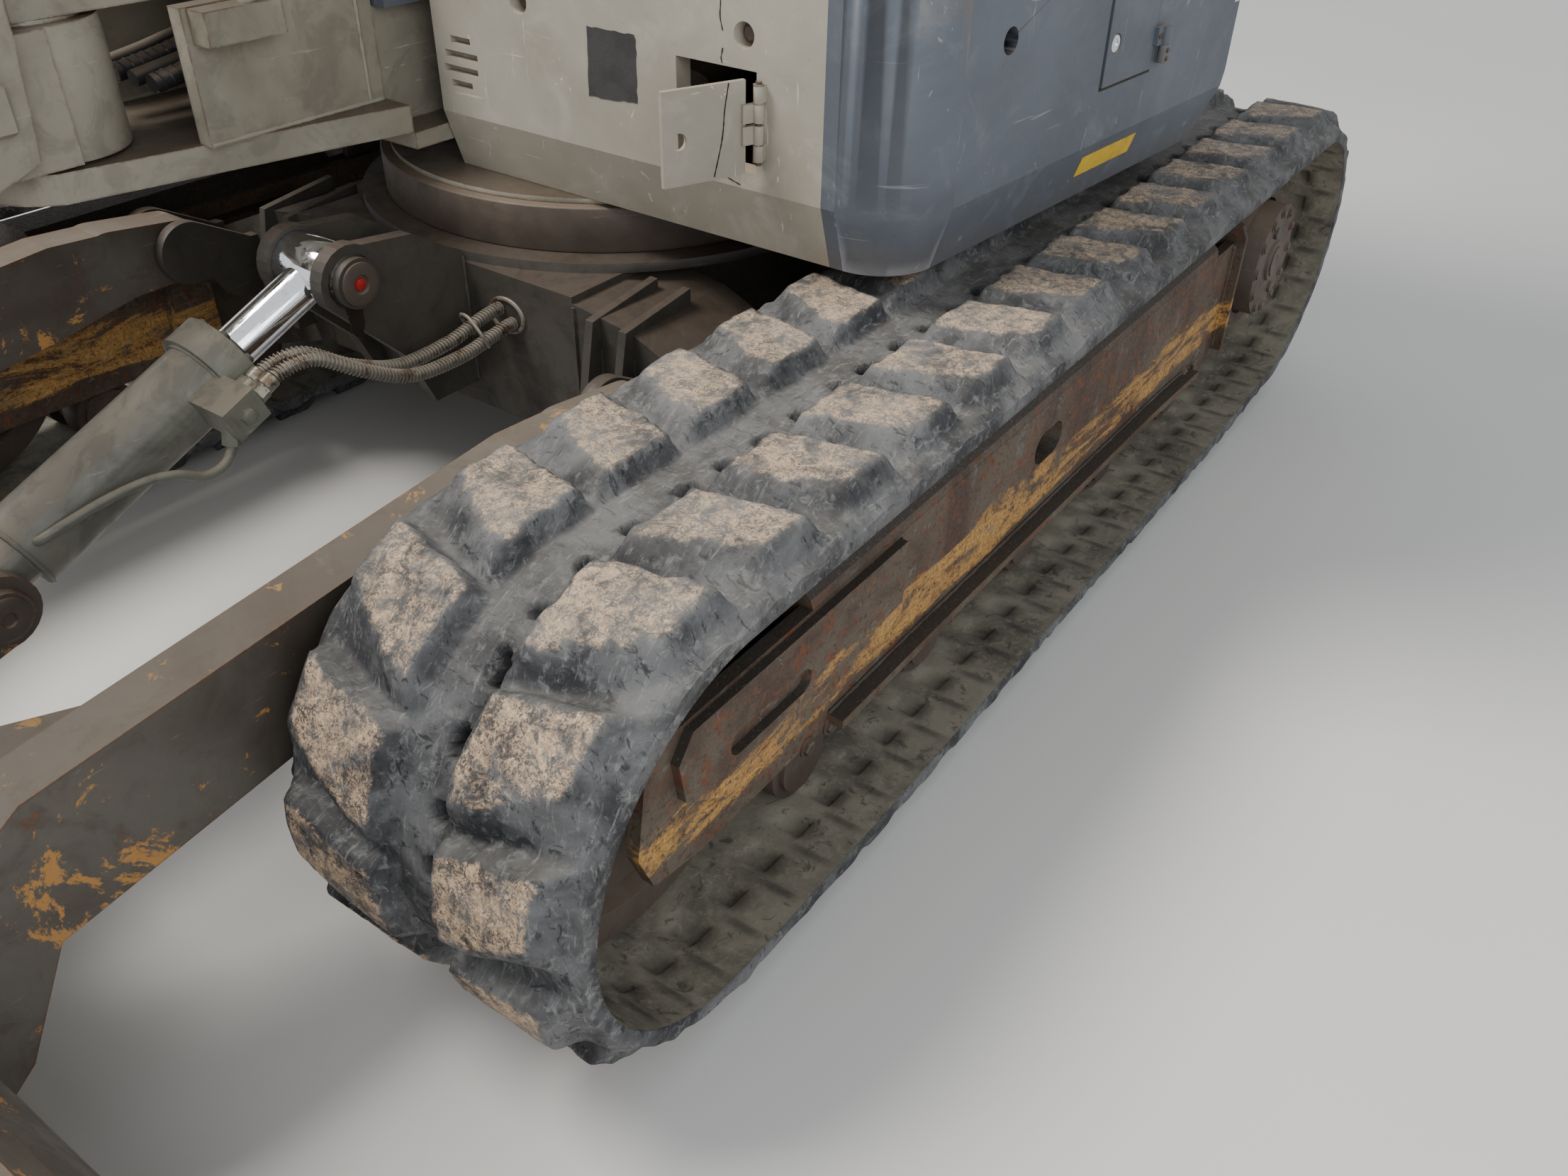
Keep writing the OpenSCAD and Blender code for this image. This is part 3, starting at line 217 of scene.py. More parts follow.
def rubber():
    """Scuffed rubber; the belt's own attributes say where its lug tops and torn holes are."""
    m = Mat("rubber")
    big, fine = m.noise(11, 5, 0.62, warp=0.5), m.noise(75, 6, 0.7, warp=0.6)
    patch, grain = m.noise(26, 6, 0.75, warp=0.5), m.noise(420, 3, 0.75)
    c = m.mix(m.ramp(big, 0.36, 0.66), (0.034, 0.034, 0.038), (0.150, 0.150, 0.152))
    c = m.over(c, (0.225, 0.228, 0.220), fine, 0.50, 0.70, 0.75)
    scuffs = m.noise(30, 6, 0.72, stretch=(1, 5, 1), warp=1.2)
    c = m.over(c, (0.33, 0.335, 0.31), scuffs, 0.54, 0.70, 0.6)
    cuts = m.noise(46, 5, 0.7, stretch=(3, 1, 1), warp=0.8)
    c = m.over(c, (0.014, 0.016, 0.020), cuts, 0.55, 0.66, 0.8)
    # sand on the tops of the lugs, with bare rubber in places
    sand = m.ramp(m.plus(m.mul(m.attr("top"), 0.50), m.mul(patch, 1.05)), 0.86, 1.10)
    bare = m.plus(m.mul(grain, 0.8), m.mul(m.noise(58, 6, 0.8, warp=0.9), 1.2))
    sand = m.mul(sand, m.math("SUBTRACT", 1.0, m.mul(m.ramp(bare, 0.94, 1.10), 0.9)))
    sand_grains = m.ramp(m.noise(230, 4, 0.75), 0.35, 0.7)
    c = m.mix(sand, c, m.mix(sand_grains, (0.47, 0.32, 0.195), (0.82, 0.61, 0.42)))
    haze = m.plus(m.up(), m.mul(patch, 0.8))
    c = m.over(c, (0.36, 0.33, 0.28), haze, 0.9, 1.7, 0.30)
    # painted shade: the torn holes are darkened almost to black, as shade inside them
    c = m.mix(m.mul(m.attr("hollow_shade"), 0.95), c, (0.008, 0.008, 0.008))
    m.bump(fine, 0.45, 0.003)
    m.bump(grain, 0.40, 0.0012)
    return m.done(c, m.ramp(fine, 0.3, 0.7, 0.66, 0.9), Specular_IOR_Level=0.3)


def belt_inside():
    """Dusty inner face of a belt, with painted shade in its pockets, and darker along its ribs"""
    m = Mat("belt_inside")
    big, fine = m.noise(8, 5, 0.65, warp=0.5), m.noise(90, 6, 0.72, warp=0.5)
    c = m.mix(m.ramp(big, 0.35, 0.65), (0.150, 0.138, 0.108), (0.285, 0.260, 0.200))
    c = m.over(c, (0.33, 0.29, 0.22), fine, 0.48, 0.68, 0.7)
    c = m.over(c, (0.050, 0.046, 0.040), m.noise(40, 5, 0.7, warp=0.8), 0.56, 0.66, 0.6)
    # painted shade in the recessed pockets
    c = m.mix(m.mul(m.attr("hollow_shade"), 0.35), c, (0.070, 0.064, 0.052))
    c = m.mix(m.mul(m.attr("line"), 0.6), c, (0.050, 0.047, 0.042))
    m.bump(fine, 0.5, 0.003)
    return m.done(c, 0.9, Specular_IOR_Level=0.25)


def rusty_frame():
    m = Mat("track_frame_paint")
    big, fine = m.noise(6, 5, 0.65, warp=0.6), m.noise(190, 5, 0.8)
    blot = m.noise(38, 6, 0.78, warp=0.9)
    c = m.mix(m.ramp(big, 0.36, 0.62), (0.115, 0.092, 0.066), (0.062, 0.037, 0.024))
    c = m.over(c, (0.150, 0.052, 0.021), blot, 0.52, 0.61)
    # yellow clay, more of it between two heights in metres
    streak = m.noise(13, 6, 0.75, stretch=(0.35, 1, 1.5), warp=0.7)
    band = m.mul(m.ramp(m.z, 0.335, 0.255), m.ramp(m.z, 0.186, 0.215))
    clay = m.plus(m.mul(band, 0.20), m.mul(m.plus(streak, m.mul(fine, 0.42)), 0.74))
    yellow = m.mix(m.ramp(fine, 0.38, 0.62), (0.58, 0.345, 0.105), (0.34, 0.165, 0.048))
    c = m.over(c, yellow, clay, 0.665, 0.735)
    c = m.over(c, (0.050, 0.022, 0.013), m.noise(110, 6, 0.82, warp=0.5), 0.53, 0.61, 0.85)
    c = m.over(c, (0.150, 0.150, 0.140), m.noise(24, 6, 0.7, warp=1.0), 0.60, 0.66, 0.7)
    # painted shade on what looks up, under the belt's top run, with specks of grit in it
    grime_and_shade = m.ramp(m.plus(m.up(), m.mul(big, 0.5)), 0.35, 0.95)
    c = m.mix(m.mul(grime_and_shade, 0.92), c, (0.034, 0.029, 0.024))
    c = m.over(c, (0.19, 0.15, 0.11), m.noise(240, 3, 0.7), 0.58, 0.68, m.mul(grime_and_shade, 0.5))
    m.bump(blot, 0.5, 0.003)
    m.bump(fine, 0.4, 0.001)
    return m.done(c, m.ramp(fine, 0.35, 0.65, 0.55, 0.85))


def old_paint(name, base, dark, rust, dust, yellow=0.0, chip=0.5, rough=0.6, grime_and_shade=0.0, shade_on_top=0.0):
    """Worn paint: two tones, rust that starts at the edges, dust on what looks up, and painted shade
    darkening what looks up
    """
    m = Mat(name)
    big, mid, fine = m.noise(3.1, 5, 0.6, warp=0.4), m.noise(17, 6, 0.7, warp=0.5), m.noise(150, 5, 0.75)
    c = m.mix(m.ramp(big, 0.35, 0.65), base, dark)
    c = m.over(c, dark, mid, 0.5, 0.68, 0.45)
    if yellow:
        clay = m.plus(m.noise(9, 6, 0.75, warp=0.8), m.mul(fine, 0.18))
        c = m.over(c, CLAY, clay, 0.70 - 0.08 * yellow, 0.75 - 0.08 * yellow)
    rusty = m.plus(m.mul(mid, 0.75), m.plus(m.mul(fine, 0.35), m.mul(m.edge(0.006), 0.20 * chip)))
    rust_c = m.mix(m.ramp(fine, 0.4, 0.62), OLD_RUST, RUST)
    c = m.over(c, rust_c, rusty, 0.80 - 0.18 * rust, 0.86 - 0.18 * rust)
    scratch = m.noise(120, 4, 0.6, stretch=(0.10, 0.10, 1.0), warp=0.3)
    c = m.over(c, tuple(min(1, v * 1.7 + 0.05) for v in base), scratch, 0.66, 0.72, 0.35)
    c = m.over(c, DUST, m.plus(m.up(), m.mul(mid, 0.5)), 0.55, 1.25, dust)
    if grime_and_shade:
        c = m.over(c, GRIME, m.noise(11, 5, 0.7, warp=1.0), 0.48, 0.62, grime_and_shade)
    # painted shade: upward faces darkened as if under the parts above them
    if shade_on_top:
        c = m.over(c, SHADE_ON_TOP, m.plus(m.up(), m.mul(mid, 0.6)), 0.80, 1.20, shade_on_top)
    m.bump(mid, 0.35, 0.003)
    m.bump(fine, 0.35, 0.0008)
    return m.done(c, m.ramp(mid, 0.35, 0.7, rough - 0.12, rough + 0.15))


def panel_paint(name, base, dark, light, dust):
    """Smooth body paint with smears, fine scratches, chips and road dust low down"""
    m = Mat(name)
    big, mid, fine = m.noise(2.3, 5, 0.6, warp=0.8), m.noise(13, 6, 0.68, warp=0.6), m.noise(240, 4, 0.7)
    c = m.mix(m.ramp(big, 0.38, 0.66), base, dark)
    c = m.over(c, light, mid, 0.50, 0.72, 0.55)
    for k, stretch in enumerate(((0.05, 0.05, 1.0), (1.0, 1.0, 0.06), (0.35, 0.35, 0.16))):
        scratch = m.noise(75 + 21 * k, 3, 0.6, stretch=stretch, warp=0.25 + 0.5 * k)
        c = m.over(c, tuple(min(1, 1.5 * v + 0.03) for v in light), scratch, 0.685, 0.72, 0.55)
    chips = m.plus(m.mul(m.noise(60, 6, 0.8, warp=0.4), 0.85), m.mul(m.edge(0.004), 0.12))
    c = m.over(c, m.mix(m.ramp(fine, 0.4, 0.6), OLD_RUST, RUST), chips, 0.635, 0.66)
    c = m.over(c, ROAD_DUST, m.plus(m.z, m.mul(mid, 0.20)), 0.80, 0.62, dust)
    c = m.over(c, DUST, m.plus(m.up(), m.mul(mid, 0.4)), 0.6, 1.2, 0.6)
    c = m.over(c, tuple(0.45 * v for v in dark), fine, 0.62, 0.70, 0.35)
    m.bump(big, 0.10, 0.004)
    m.bump(fine, 0.16, 0.0006)
    return m.done(c, m.ramp(mid, 0.35, 0.7, 0.50, 0.72))


def plain(name, base, rough, metal=0.0, spots=None, depth=0.0006, scale=120, dust=0.25):
    m = Mat(name)
    fine, mid = m.noise(scale, 4, 0.65), m.noise(scale / 8, 4, 0.6, warp=0.5)
    c = m.mix(m.ramp(mid, 0.35, 0.7), base, tuple(0.72 * v for v in base))
    if spots:
        c = m.over(c, spots, m.plus(mid, m.mul(fine, 0.4)), 0.74, 0.82)
    if dust:
        c = m.over(c, DUST, m.plus(m.up(), m.mul(mid, 0.5)), 0.5, 1.2, dust)
    m.bump(fine, 0.3, depth)
    return m.done(c, m.ramp(fine, 0.3, 0.7, rough * 0.85, min(1, rough * 1.2)), metal)


def chrome():
    m = Mat("chrome")
    streak = m.noise(60, 4, 0.6, warp=0.4)
    c = m.mix(m.ramp(streak, 0.5, 0.75), (0.80, 0.82, 0.86), (0.55, 0.56, 0.58))
    m.bump(m.noise(400, 2, 0.5), 0.05, 0.0003)
    return m.done(c, m.ramp(streak, 0.4, 0.7, 0.07, 0.22), 1.0)


def glass():
    m = Mat("window_glass")
    m.bump(m.noise(3, 2, 0.5), 0.05, 0.002)
    dirt = m.ramp(m.noise(14, 5, 0.65, warp=0.5), 0.45, 0.8, 0.03, 0.16)
    return m.done((0.82, 0.90, 0.88), dirt, 0.0, Transmission_Weight=0.92, IOR=1.45)


def floor_material():
    """Pale ground that glows more with distance, so that it meets the backdrop softly"""
    m = Mat("floor")
    c = m.mix(m.noise(2.0, 3, 0.5), (0.80, 0.775, 0.735), (0.84, 0.815, 0.775))
    away = m.math("SQRT", m.plus(m.mul(m.x, m.x), m.mul(m.y, m.y)))
    return m.done(c, 0.9, Specular_IOR_Level=0.1, Emission_Color=BACKDROP[:3],
        Emission_Strength=m.ramp(away, 3.0, 14.0, 0.0, 0.5))


def make_floor():
    bpy.ops.mesh.primitive_plane_add(size=120, location=(0, 0, 0))
    floor = bpy.context.object
    floor.name = "floor"
    floor.data.materials.append(floor_material())


MATS = {}


def materials():
    MATS.update(
        rubber=rubber(),
        belt_inside=belt_inside(),
        frame_paint=rusty_frame(),
        chrome=chrome(),
        glass=glass(),
        carbody=old_paint("carbody_paint", (0.066, 0.058, 0.047), (0.040, 0.034, 0.028), 0.40, 0.12,
            grime_and_shade=0.55, shade_on_top=0.55),
        arm_steel=old_paint("blade_arm_paint", (0.118, 0.104, 0.086), (0.062, 0.047, 0.036), 0.80, 0.22,
            yellow=0.45, chip=1.2),
        cast=old_paint("cast_iron", (0.110, 0.085, 0.066), (0.060, 0.042, 0.032), 0.7, 0.3),
        greige=panel_paint("greige_paint", (0.43, 0.395, 0.325), (0.345, 0.31, 0.25), (0.50, 0.465, 0.39),
            0.55),
        slate=panel_paint("slate_paint", (0.118, 0.134, 0.160), (0.088, 0.100, 0.122), (0.190, 0.205, 0.228),
            0.45),
        dark=plain("dark_paint", (0.045, 0.046, 0.050), 0.5, spots=(0.09, 0.085, 0.08)),
        cylinder=old_paint("cylinder_paint", (0.215, 0.210, 0.165), (0.130, 0.125, 0.100), 0.30, 0.45,
            grime_and_shade=0.3, rough=0.5),
        arm_paint=old_paint("greige_steel", (0.38, 0.35, 0.285), (0.285, 0.26, 0.205), 0.12, 0.30, chip=0.8,
            rough=0.45),
        nose=old_paint("nose_paint", (0.38, 0.35, 0.28), (0.26, 0.235, 0.18), 0.27, 0.25, chip=1.3,
            rough=0.42, grime_and_shade=0.22, shade_on_top=0.80),
        bucket=old_paint("bucket_steel", (0.150, 0.135, 0.120), (0.080, 0.064, 0.052), 0.75, 0.5, chip=1.0,
            rough=0.5),
        hose=plain("hose_rubber", (0.020, 0.020, 0.021), 0.55, dust=0.35),
        plastic=plain("black_plastic", (0.028, 0.028, 0.030), 0.45, scale=500, dust=0.15),
        cloth=plain("seat_cloth", (0.040, 0.042, 0.048), 0.9, scale=700, depth=0.001, dust=0.1),
        red=plain("red_grease", (0.42, 0.022, 0.018), 0.3, scale=300, dust=0.0),
        crack=plain("crack_line", (0.020, 0.018, 0.016), 0.9, scale=300, dust=0.0),
        gasket=plain("window_rubber", (0.018, 0.018, 0.019), 0.7, scale=300, dust=0.15),
        zinc=plain("zinc_fitting", (0.42, 0.40, 0.33), 0.38, 0.7, spots=(0.16, 0.12, 0.08), scale=200),
        spring=plain("spring_steel", (0.27, 0.245, 0.205), 0.5, 0.45, spots=(0.10, 0.06, 0.035), scale=260,
            dust=0.35),
        grease=plain("old_grease", (0.018, 0.014, 0.011), 0.35, scale=90, depth=0.003, dust=0.15),
        patch=plain("rough_patch", (0.060, 0.058, 0.056), 0.9, scale=300, depth=0.0015, dust=0.1),
        label=plain("blank_label", (0.80, 0.52, 0.045), 0.45, spots=(0.45, 0.32, 0.10), scale=150, dust=0.1),
        stripe=plain("white_stripe", (0.74, 0.74, 0.72), 0.5, spots=(0.35, 0.33, 0.30), scale=140, dust=0.2),
        lamp=plain("lamp_lens", (0.75, 0.76, 0.74), 0.15, scale=200, dust=0.1))


# The nodes that wear each material
WEARERS = {
    "carbody": "carbody", "cast": "slew_ring idlers sprockets rollers", "arm_steel": "blade",
    "frame_paint": "frame_left frame_right", "rubber": "track_left track_right",
    "hose": "blade_hoses bracket_hoses boom_lines",
    "cylinder": "blade_barrel", "chrome": "blade_rod boom_rod arm_rod bucket_rod",
    "nose": "main_frame swing_bracket", "greige": "front_panel front_flap hood cab_frame cab_door",
    "slate": "side_skirt side_door right_cover rear_cover counterweight", "dark": "engine",
    "glass": "cab_glass door_glass", "cloth": "chair", "plastic": "consoles cab_trim",
    "arm_paint": "boom boom_barrel arm arm_barrel bucket_barrel rocker tipping_link",
    "bucket": "bucket teeth",
}
NOT_ROUNDED = "rubber", "glass", "hose"
BEVEL_WIDTH, WELD_REACH = 0.003, 0.00002


def dress_nodes():
    """Gives each node of the CAD its material, and rounds the edges of most"""
    for mat, names in WEARERS.items():
        for name in names.split():
            o = node[name]
            o.data.materials.clear()
            o.data.materials.append(MATS[mat])
            for p in o.data.polygons:
                p.material_index = 0
            if mat in NOT_ROUNDED:
                continue
            o.modifiers.new("weld", "WELD").merge_threshold = WELD_REACH
            b = o.modifiers.new("bevel", "BEVEL")
            b.width, b.segments = BEVEL_WIDTH, 2
            b.limit_method, b.angle_limit = "ANGLE", math.radians(40)
            b.harden_normals = True
            b.use_clamp_overlap = True


def make_object(name, verts, faces, mats, body):
    mesh = bpy.data.meshes.new(name)
    mesh.from_pydata([tuple(v) for v in verts], [], [tuple(f) for f in faces])
    mesh.update()
    o = bpy.data.objects.new(name, mesh)
    scene.collection.objects.link(o)
    for m in mats:
        mesh.materials.append(MATS[m])
    mesh.polygons.foreach_set("use_smooth", [True] * len(mesh.polygons))
    if body:
        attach(o, body)
    return o


# Rubber tracks, in metres

BELT, LUG, LUGS = 0.030, 0.028, 37
TREAD = BELT + LUG
MID_Y, HALF_W = 0.780, 0.200
WHEEL, LOW = 0.239, 0.060
# The inner face's circles, as x, z and radius: low rollers at the rear and front, front and rear wheel
CIRCLES = [(-0.640, TREAD + LOW, LOW), (0.660, TREAD + LOW, LOW), (0.930, 0.308, WHEEL),
    (-0.930, 0.312, WHEEL)]
# From the front end of the top run back to a lug's rear edge
REAR_EDGE = 0.108
# Lugs: where they begin beside the middle, their slant, length, and how they shorten outwards
LUG_START, LUG_SLANT, LUG_LENGTH, LUG_TAPER = 0.037, 0.22, 0.108, 0.33
HOLE_Y, HOLE_LENGTH, HOLE_WIDTH, HOLE_DEPTH = 0.020, 0.015, 0.010, 0.021
# Points along each lug pitch and across the belt
STEPS_A_PITCH, STEPS_ACROSS = 26, 71


class Loop:
    """The belt's line round its four circles, by length from the rear low roller."""

    def __init__(self):
        pairs = list(zip(CIRCLES, CIRCLES[1:] + CIRCLES[:1]))
        gaps = [math.hypot(b[0] - a[0], b[1] - a[1]) for a, b in pairs]
        self.line = [math.sqrt(d * d - (a[2] - b[2]) ** 2) for (a, b), d in zip(pairs, gaps)]
        # the belt leaves a circle at its tangent to the next, and meets that one at the same angle
        self.stop = [math.atan2(b[1] - a[1], b[0] - a[0]) - math.acos((a[2] - b[2]) / d)
            for (a, b), d in zip(pairs, gaps)]
        self.start = self.stop[-1:] + self.stop[:-1]
        for i in range(4):
            while self.stop[i] < self.start[i]:
                self.stop[i] += 2 * math.pi
        self.arc = [(c[2] + BELT) * (b - a) for c, a, b in zip(CIRCLES, self.start, self.stop)]
        self.total = sum(self.arc) + sum(self.line)
        self.top = sum(self.arc[:3]) + sum(self.line[:2])
        self.pitch = self.total / LUGS

    def frame(self, s):
        """Points of the inner face at lengths s, and the outward direction there"""
        s = np.mod(s, self.total)
        x, z, nx, nz = (np.zeros_like(s) for _ in range(4))
        at = 0.0
        for i in range(4):
            c = CIRCLES[i]
            on = (s >= at) & (s < at + self.arc[i] + 1e-9)
            a = self.start[i] + (s[on] - at) / (c[2] + BELT)
            x[on], z[on] = c[0] + c[2] * np.cos(a), c[1] + c[2] * np.sin(a)
            nx[on], nz[on] = np.cos(a), np.sin(a)
            at += self.arc[i]
            on = (s >= at) & (s < at + self.line[i] + 1e-9)
            a = self.stop[i]
            d = s[on] - at
            x[on] = c[0] + c[2] * math.cos(a) - d * math.sin(a)
            z[on] = c[1] + c[2] * math.sin(a) + d * math.cos(a)
            nx[on], nz[on] = math.cos(a), math.sin(a)
            at += self.line[i]
        return x, z, nx, nz


def smooth(x, lo, hi):
    t = np.clip((x - lo) / (hi - lo), 0, 1)
    return t * t * (3 - 2 * t)


def lumps(shape, cells, seed):
    """Smooth noise from -1 to 1 on a grid that closes on itself along its first side"""
    r = np.random.default_rng(seed)
    coarse = r.uniform(-1, 1, cells)
    a = np.arange(shape[0]) / shape[0] * cells[0]
    b = np.arange(shape[1]) / max(1, shape[1] - 1) * (cells[1] - 1)
    i0, j0 = np.floor(a).astype(int) % cells[0], np.minimum(np.floor(b).astype(int), cells[1] - 2)
    i1 = (i0 + 1) % cells[0]
    fa, fb = a - np.floor(a), b - j0
    fa, fb = fa * fa * (3 - 2 * fa), fb * fb * (3 - 2 * fb)
    fa, fb = fa[:, None], fb[None, :]
    return ((coarse[i0][:, j0] * (1 - fa) + coarse[i1][:, j0] * fa) * (1 - fb)
            + (coarse[i0][:, j0 + 1] * (1 - fa) + coarse[i1][:, j0 + 1] * fa) * fb)


def belt_outside(loop, seed):
    """Height of the worn tread over the belt's inner face, with masks of lug tops and torn holes"""
    shape = LUGS * STEPS_A_PITCH, STEPS_ACROSS
    S, V = np.meshgrid(np.arange(shape[0]) / shape[0] * loop.total, np.linspace(-HALF_W, HALF_W, shape[1]),
        indexing="ij")
    w1, w2, w3 = (lumps(shape, cells, seed + k) for k, cells in enumerate(((260, 20), (700, 52), (90, 8))))
    S2 = S + 0.0022 * w1 + 0.0010 * w2
    V2 = V + 0.0030 * lumps(shape, (300, 16), seed + 3)
    top, solid = np.zeros_like(S), np.zeros_like(S)
    for side, phase in ((1, 0.0), (-1, 0.5)):
        across = side * V2 - LUG_START
        rear = loop.top + REAR_EDGE + LUG_SLANT * np.clip(across, 0, 0.16) + phase * loop.pitch
        back = np.mod(rear - S2, loop.pitch)
        back = np.where(back > loop.pitch - 0.012, back - loop.pitch, back)
        length = LUG_LENGTH - LUG_TAPER * np.clip(across - 0.045, 0, 0.14)
        # the lug with its slopes, and its flat top
        h = smooth(back, -0.010, 0.004) * smooth(back, length + 0.038, length - 0.012)
        h *= smooth(across, -0.004, 0.010) * smooth(across, 0.150, 0.128)
        flat = smooth(back, -0.005, 0.008) * smooth(back, length + 0.012, length - 0.016)
        flat *= smooth(across, 0.002, 0.012) * smooth(across, 0.142, 0.122)
        solid, top = np.maximum(solid, h), np.maximum(top, flat)
    height = BELT + LUG * solid
    height -= solid * (0.0010 * (1 + w1) + 0.0006 * (1 + w2)) + 0.0012 * (1 - solid) * (1 + w3)
    # torn holes along the middle, two to a pitch, each with a raised rim
    k = np.mod(S2 - loop.top - REAR_EDGE + 0.020 + 0.010 * w3, loop.pitch / 2) - loop.pitch / 4
    hole = np.sqrt((k / HOLE_LENGTH) ** 2 + ((V2 - HOLE_Y) / HOLE_WIDTH) ** 2) + 0.30 * w2 + 0.22 * w1
    torn = smooth(hole, 1.15, 0.70)
    rim = smooth(np.abs(hole - 1.3), 0.35, 0.0) * (1 - solid)
    height += 0.002 * rim * (1 + w2) - HOLE_DEPTH * torn
    edge = smooth(np.abs(V), HALF_W - 0.020, HALF_W)
    height -= 0.010 * edge * edge * (1 + 0.5 * w1)
    return S, V, np.minimum(height, TREAD - 0.0004), top, torn


# Lines along the inner face, as shares of half its width; each side face has the first or last two
INNER_LINES = np.array([-1.0, -1.0, -0.985, -0.93, -0.87, -0.66, -0.645, -0.56, -0.475, -0.46, -0.30, 0,
    0.30, 0.46, 0.475, 0.56, 0.645, 0.66, 0.76, 0.87, 0.93, 0.985, 1.0, 1.0]) * HALF_W


def build_track(side, name, replaced, seed):
    loop = Loop()
    S, V, height, top, torn = belt_outside(loop, seed)
    ns, ny = S.shape
    x, z, nx, nz = loop.frame(S[:, 0])

    def place(off, v):
        return np.stack([x[:, None] + nx[:, None] * off, side * (MID_Y + v) + 0 * off,
            z[:, None] + nz[:, None] * off], -1).reshape(-1, 3)
    # inner face with pockets and thin ribs across
    Si, Vi = np.meshgrid(S[:, 0], INNER_LINES, indexing="ij")
    half = loop.pitch / 2
    ph = np.mod(Si - loop.top, half)
    pocket = smooth(ph, 0.014, 0.024) * smooth(ph, 0.059, 0.049)
    pocket *= smooth(np.abs(Vi), 0.0945, 0.0955) * smooth(np.abs(Vi), 0.1298, 0.1288)
    rib = np.zeros_like(ph)
    for c in (0.0, 0.0073, half - 0.0073):
        d = np.abs(np.mod(ph - c + half / 2, half) - half / 2)
        rib = np.maximum(rib, smooth(d, 0.0035, 0.0008))
    rib *= smooth(np.abs(Vi), 0.13, 0.135) * smooth(np.abs(Vi), 0.188, 0.184)
    off = 0.0060 * pocket + 0.0008 - 0.0006 * rib
    off[:, 0], off[:, -1] = height[:, 0], height[:, -1]
    outer, inner = place(height, V), place(off, Vi)
    i = np.arange(ns)
    nxt = (i + 1) % ns

    def quads(first, width):
        a = first + i[:, None] * width + np.arange(width - 1)[None, :]
        b = first + nxt[:, None] * width + np.arange(width - 1)[None, :]
        return np.stack([a, a + 1, b + 1, b], -1).reshape(-1, 4)
    lines = len(INNER_LINES)
    f1, f2 = quads(0, ny), quads(len(outer), lines)[:, ::-1]
    if side < 0:
        f1, f2 = f1[:, ::-1], f2[:, ::-1]
    o = make_object(name, np.concatenate([outer, inner]), np.concatenate([f1, f2]).tolist(),
        ["rubber", "belt_inside"], None)
    # hollow_shade marks where painted shade darkens the torn holes and the inner pockets
    for key, a, b in (("top", top, 0 * ph), ("hollow_shade", torn, pocket), ("line", 0 * top, rib)):
        at = o.data.attributes.new(key, "FLOAT", "POINT")
        at.data.foreach_set("value", np.concatenate([a.ravel(), b.ravel()]).astype(np.float32))
    index = np.concatenate([np.zeros(len(f1), int), np.ones(len(f2), int)])
    # the belt's side faces are rubber
    column = np.tile(np.arange(lines - 1), ns)
    index[len(f1):][(column < 2) | (column > lines - 4)] = 0
    o.data.polygons.foreach_set("material_index", index.astype(np.int32))
    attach(o, "undercarriage")
    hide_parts(replaced)


# Small forms, in millimetres up to the finished mesh

def fine_path(points, step=6):
    """A smooth line through the points"""
    p = np.array(points, float)
    p = np.vstack([2 * p[0] - p[1], p, 2 * p[-1] - p[-2]])
    out = []
    for i in range(1, len(p) - 2):
        n = max(2, int(np.linalg.norm(p[i + 1] - p[i]) / step))
        for t in np.arange(n) / n:
            out.append(0.5 * (2 * p[i] + (p[i + 1] - p[i - 1]) * t
                + (2 * p[i - 1] - 5 * p[i] + 4 * p[i + 1] - p[i + 2]) * t * t
                + (3 * p[i] - p[i - 1] - 3 * p[i + 1] + p[i + 2]) * t ** 3))
    out.append(p[-2])
    return np.array(out)


def axes_along(path):
    """Unit vectors along a path and two that turn with it as little as they can"""
    t = np.gradient(path, axis=0)
    t /= np.linalg.norm(t, axis=1)[:, None]
    first = np.cross(t[0], (0, 0, 1) if abs(t[0][2]) < 0.9 else (1, 0, 0))
    u = [first / np.linalg.norm(first)]
    for k in range(1, len(path)):
        v = u[-1] - t[k] * np.dot(u[-1], t[k])
        u.append(v / np.linalg.norm(v))
    u = np.array(u)
    return t, u, np.cross(t, u)


def rounded(points, r):
    """An outline with its corners rounded off"""
    out = []
    for k, p in enumerate(points):
        p = np.array(p, float)
        a, b = np.array(points[k - 1], float) - p, np.array(points[(k + 1) % len(points)], float) - p
        a, b = p + a / np.linalg.norm(a) * r, p + b / np.linalg.norm(b) * r
        for t in np.linspace(0, 1, 5):
            out.append(tuple((1 - t) ** 2 * a + 2 * t * (1 - t) * p + t * t * b))
    return out


def rough_edge(corners, step, jitter):
    """An outline with ragged sides"""
    out = []
    for k, a in enumerate(corners):
        b = corners[(k + 1) % len(corners)]
        n = max(1, int(math.dist(a, b) / step))
        for i in range(n):
            q = [a[j] + (b[j] - a[j]) * i / n for j in (0, 1)]
            out.append([q[j] + (rng.uniform(-jitter, jitter) if i else 0) for j in (0, 1)])
    return out


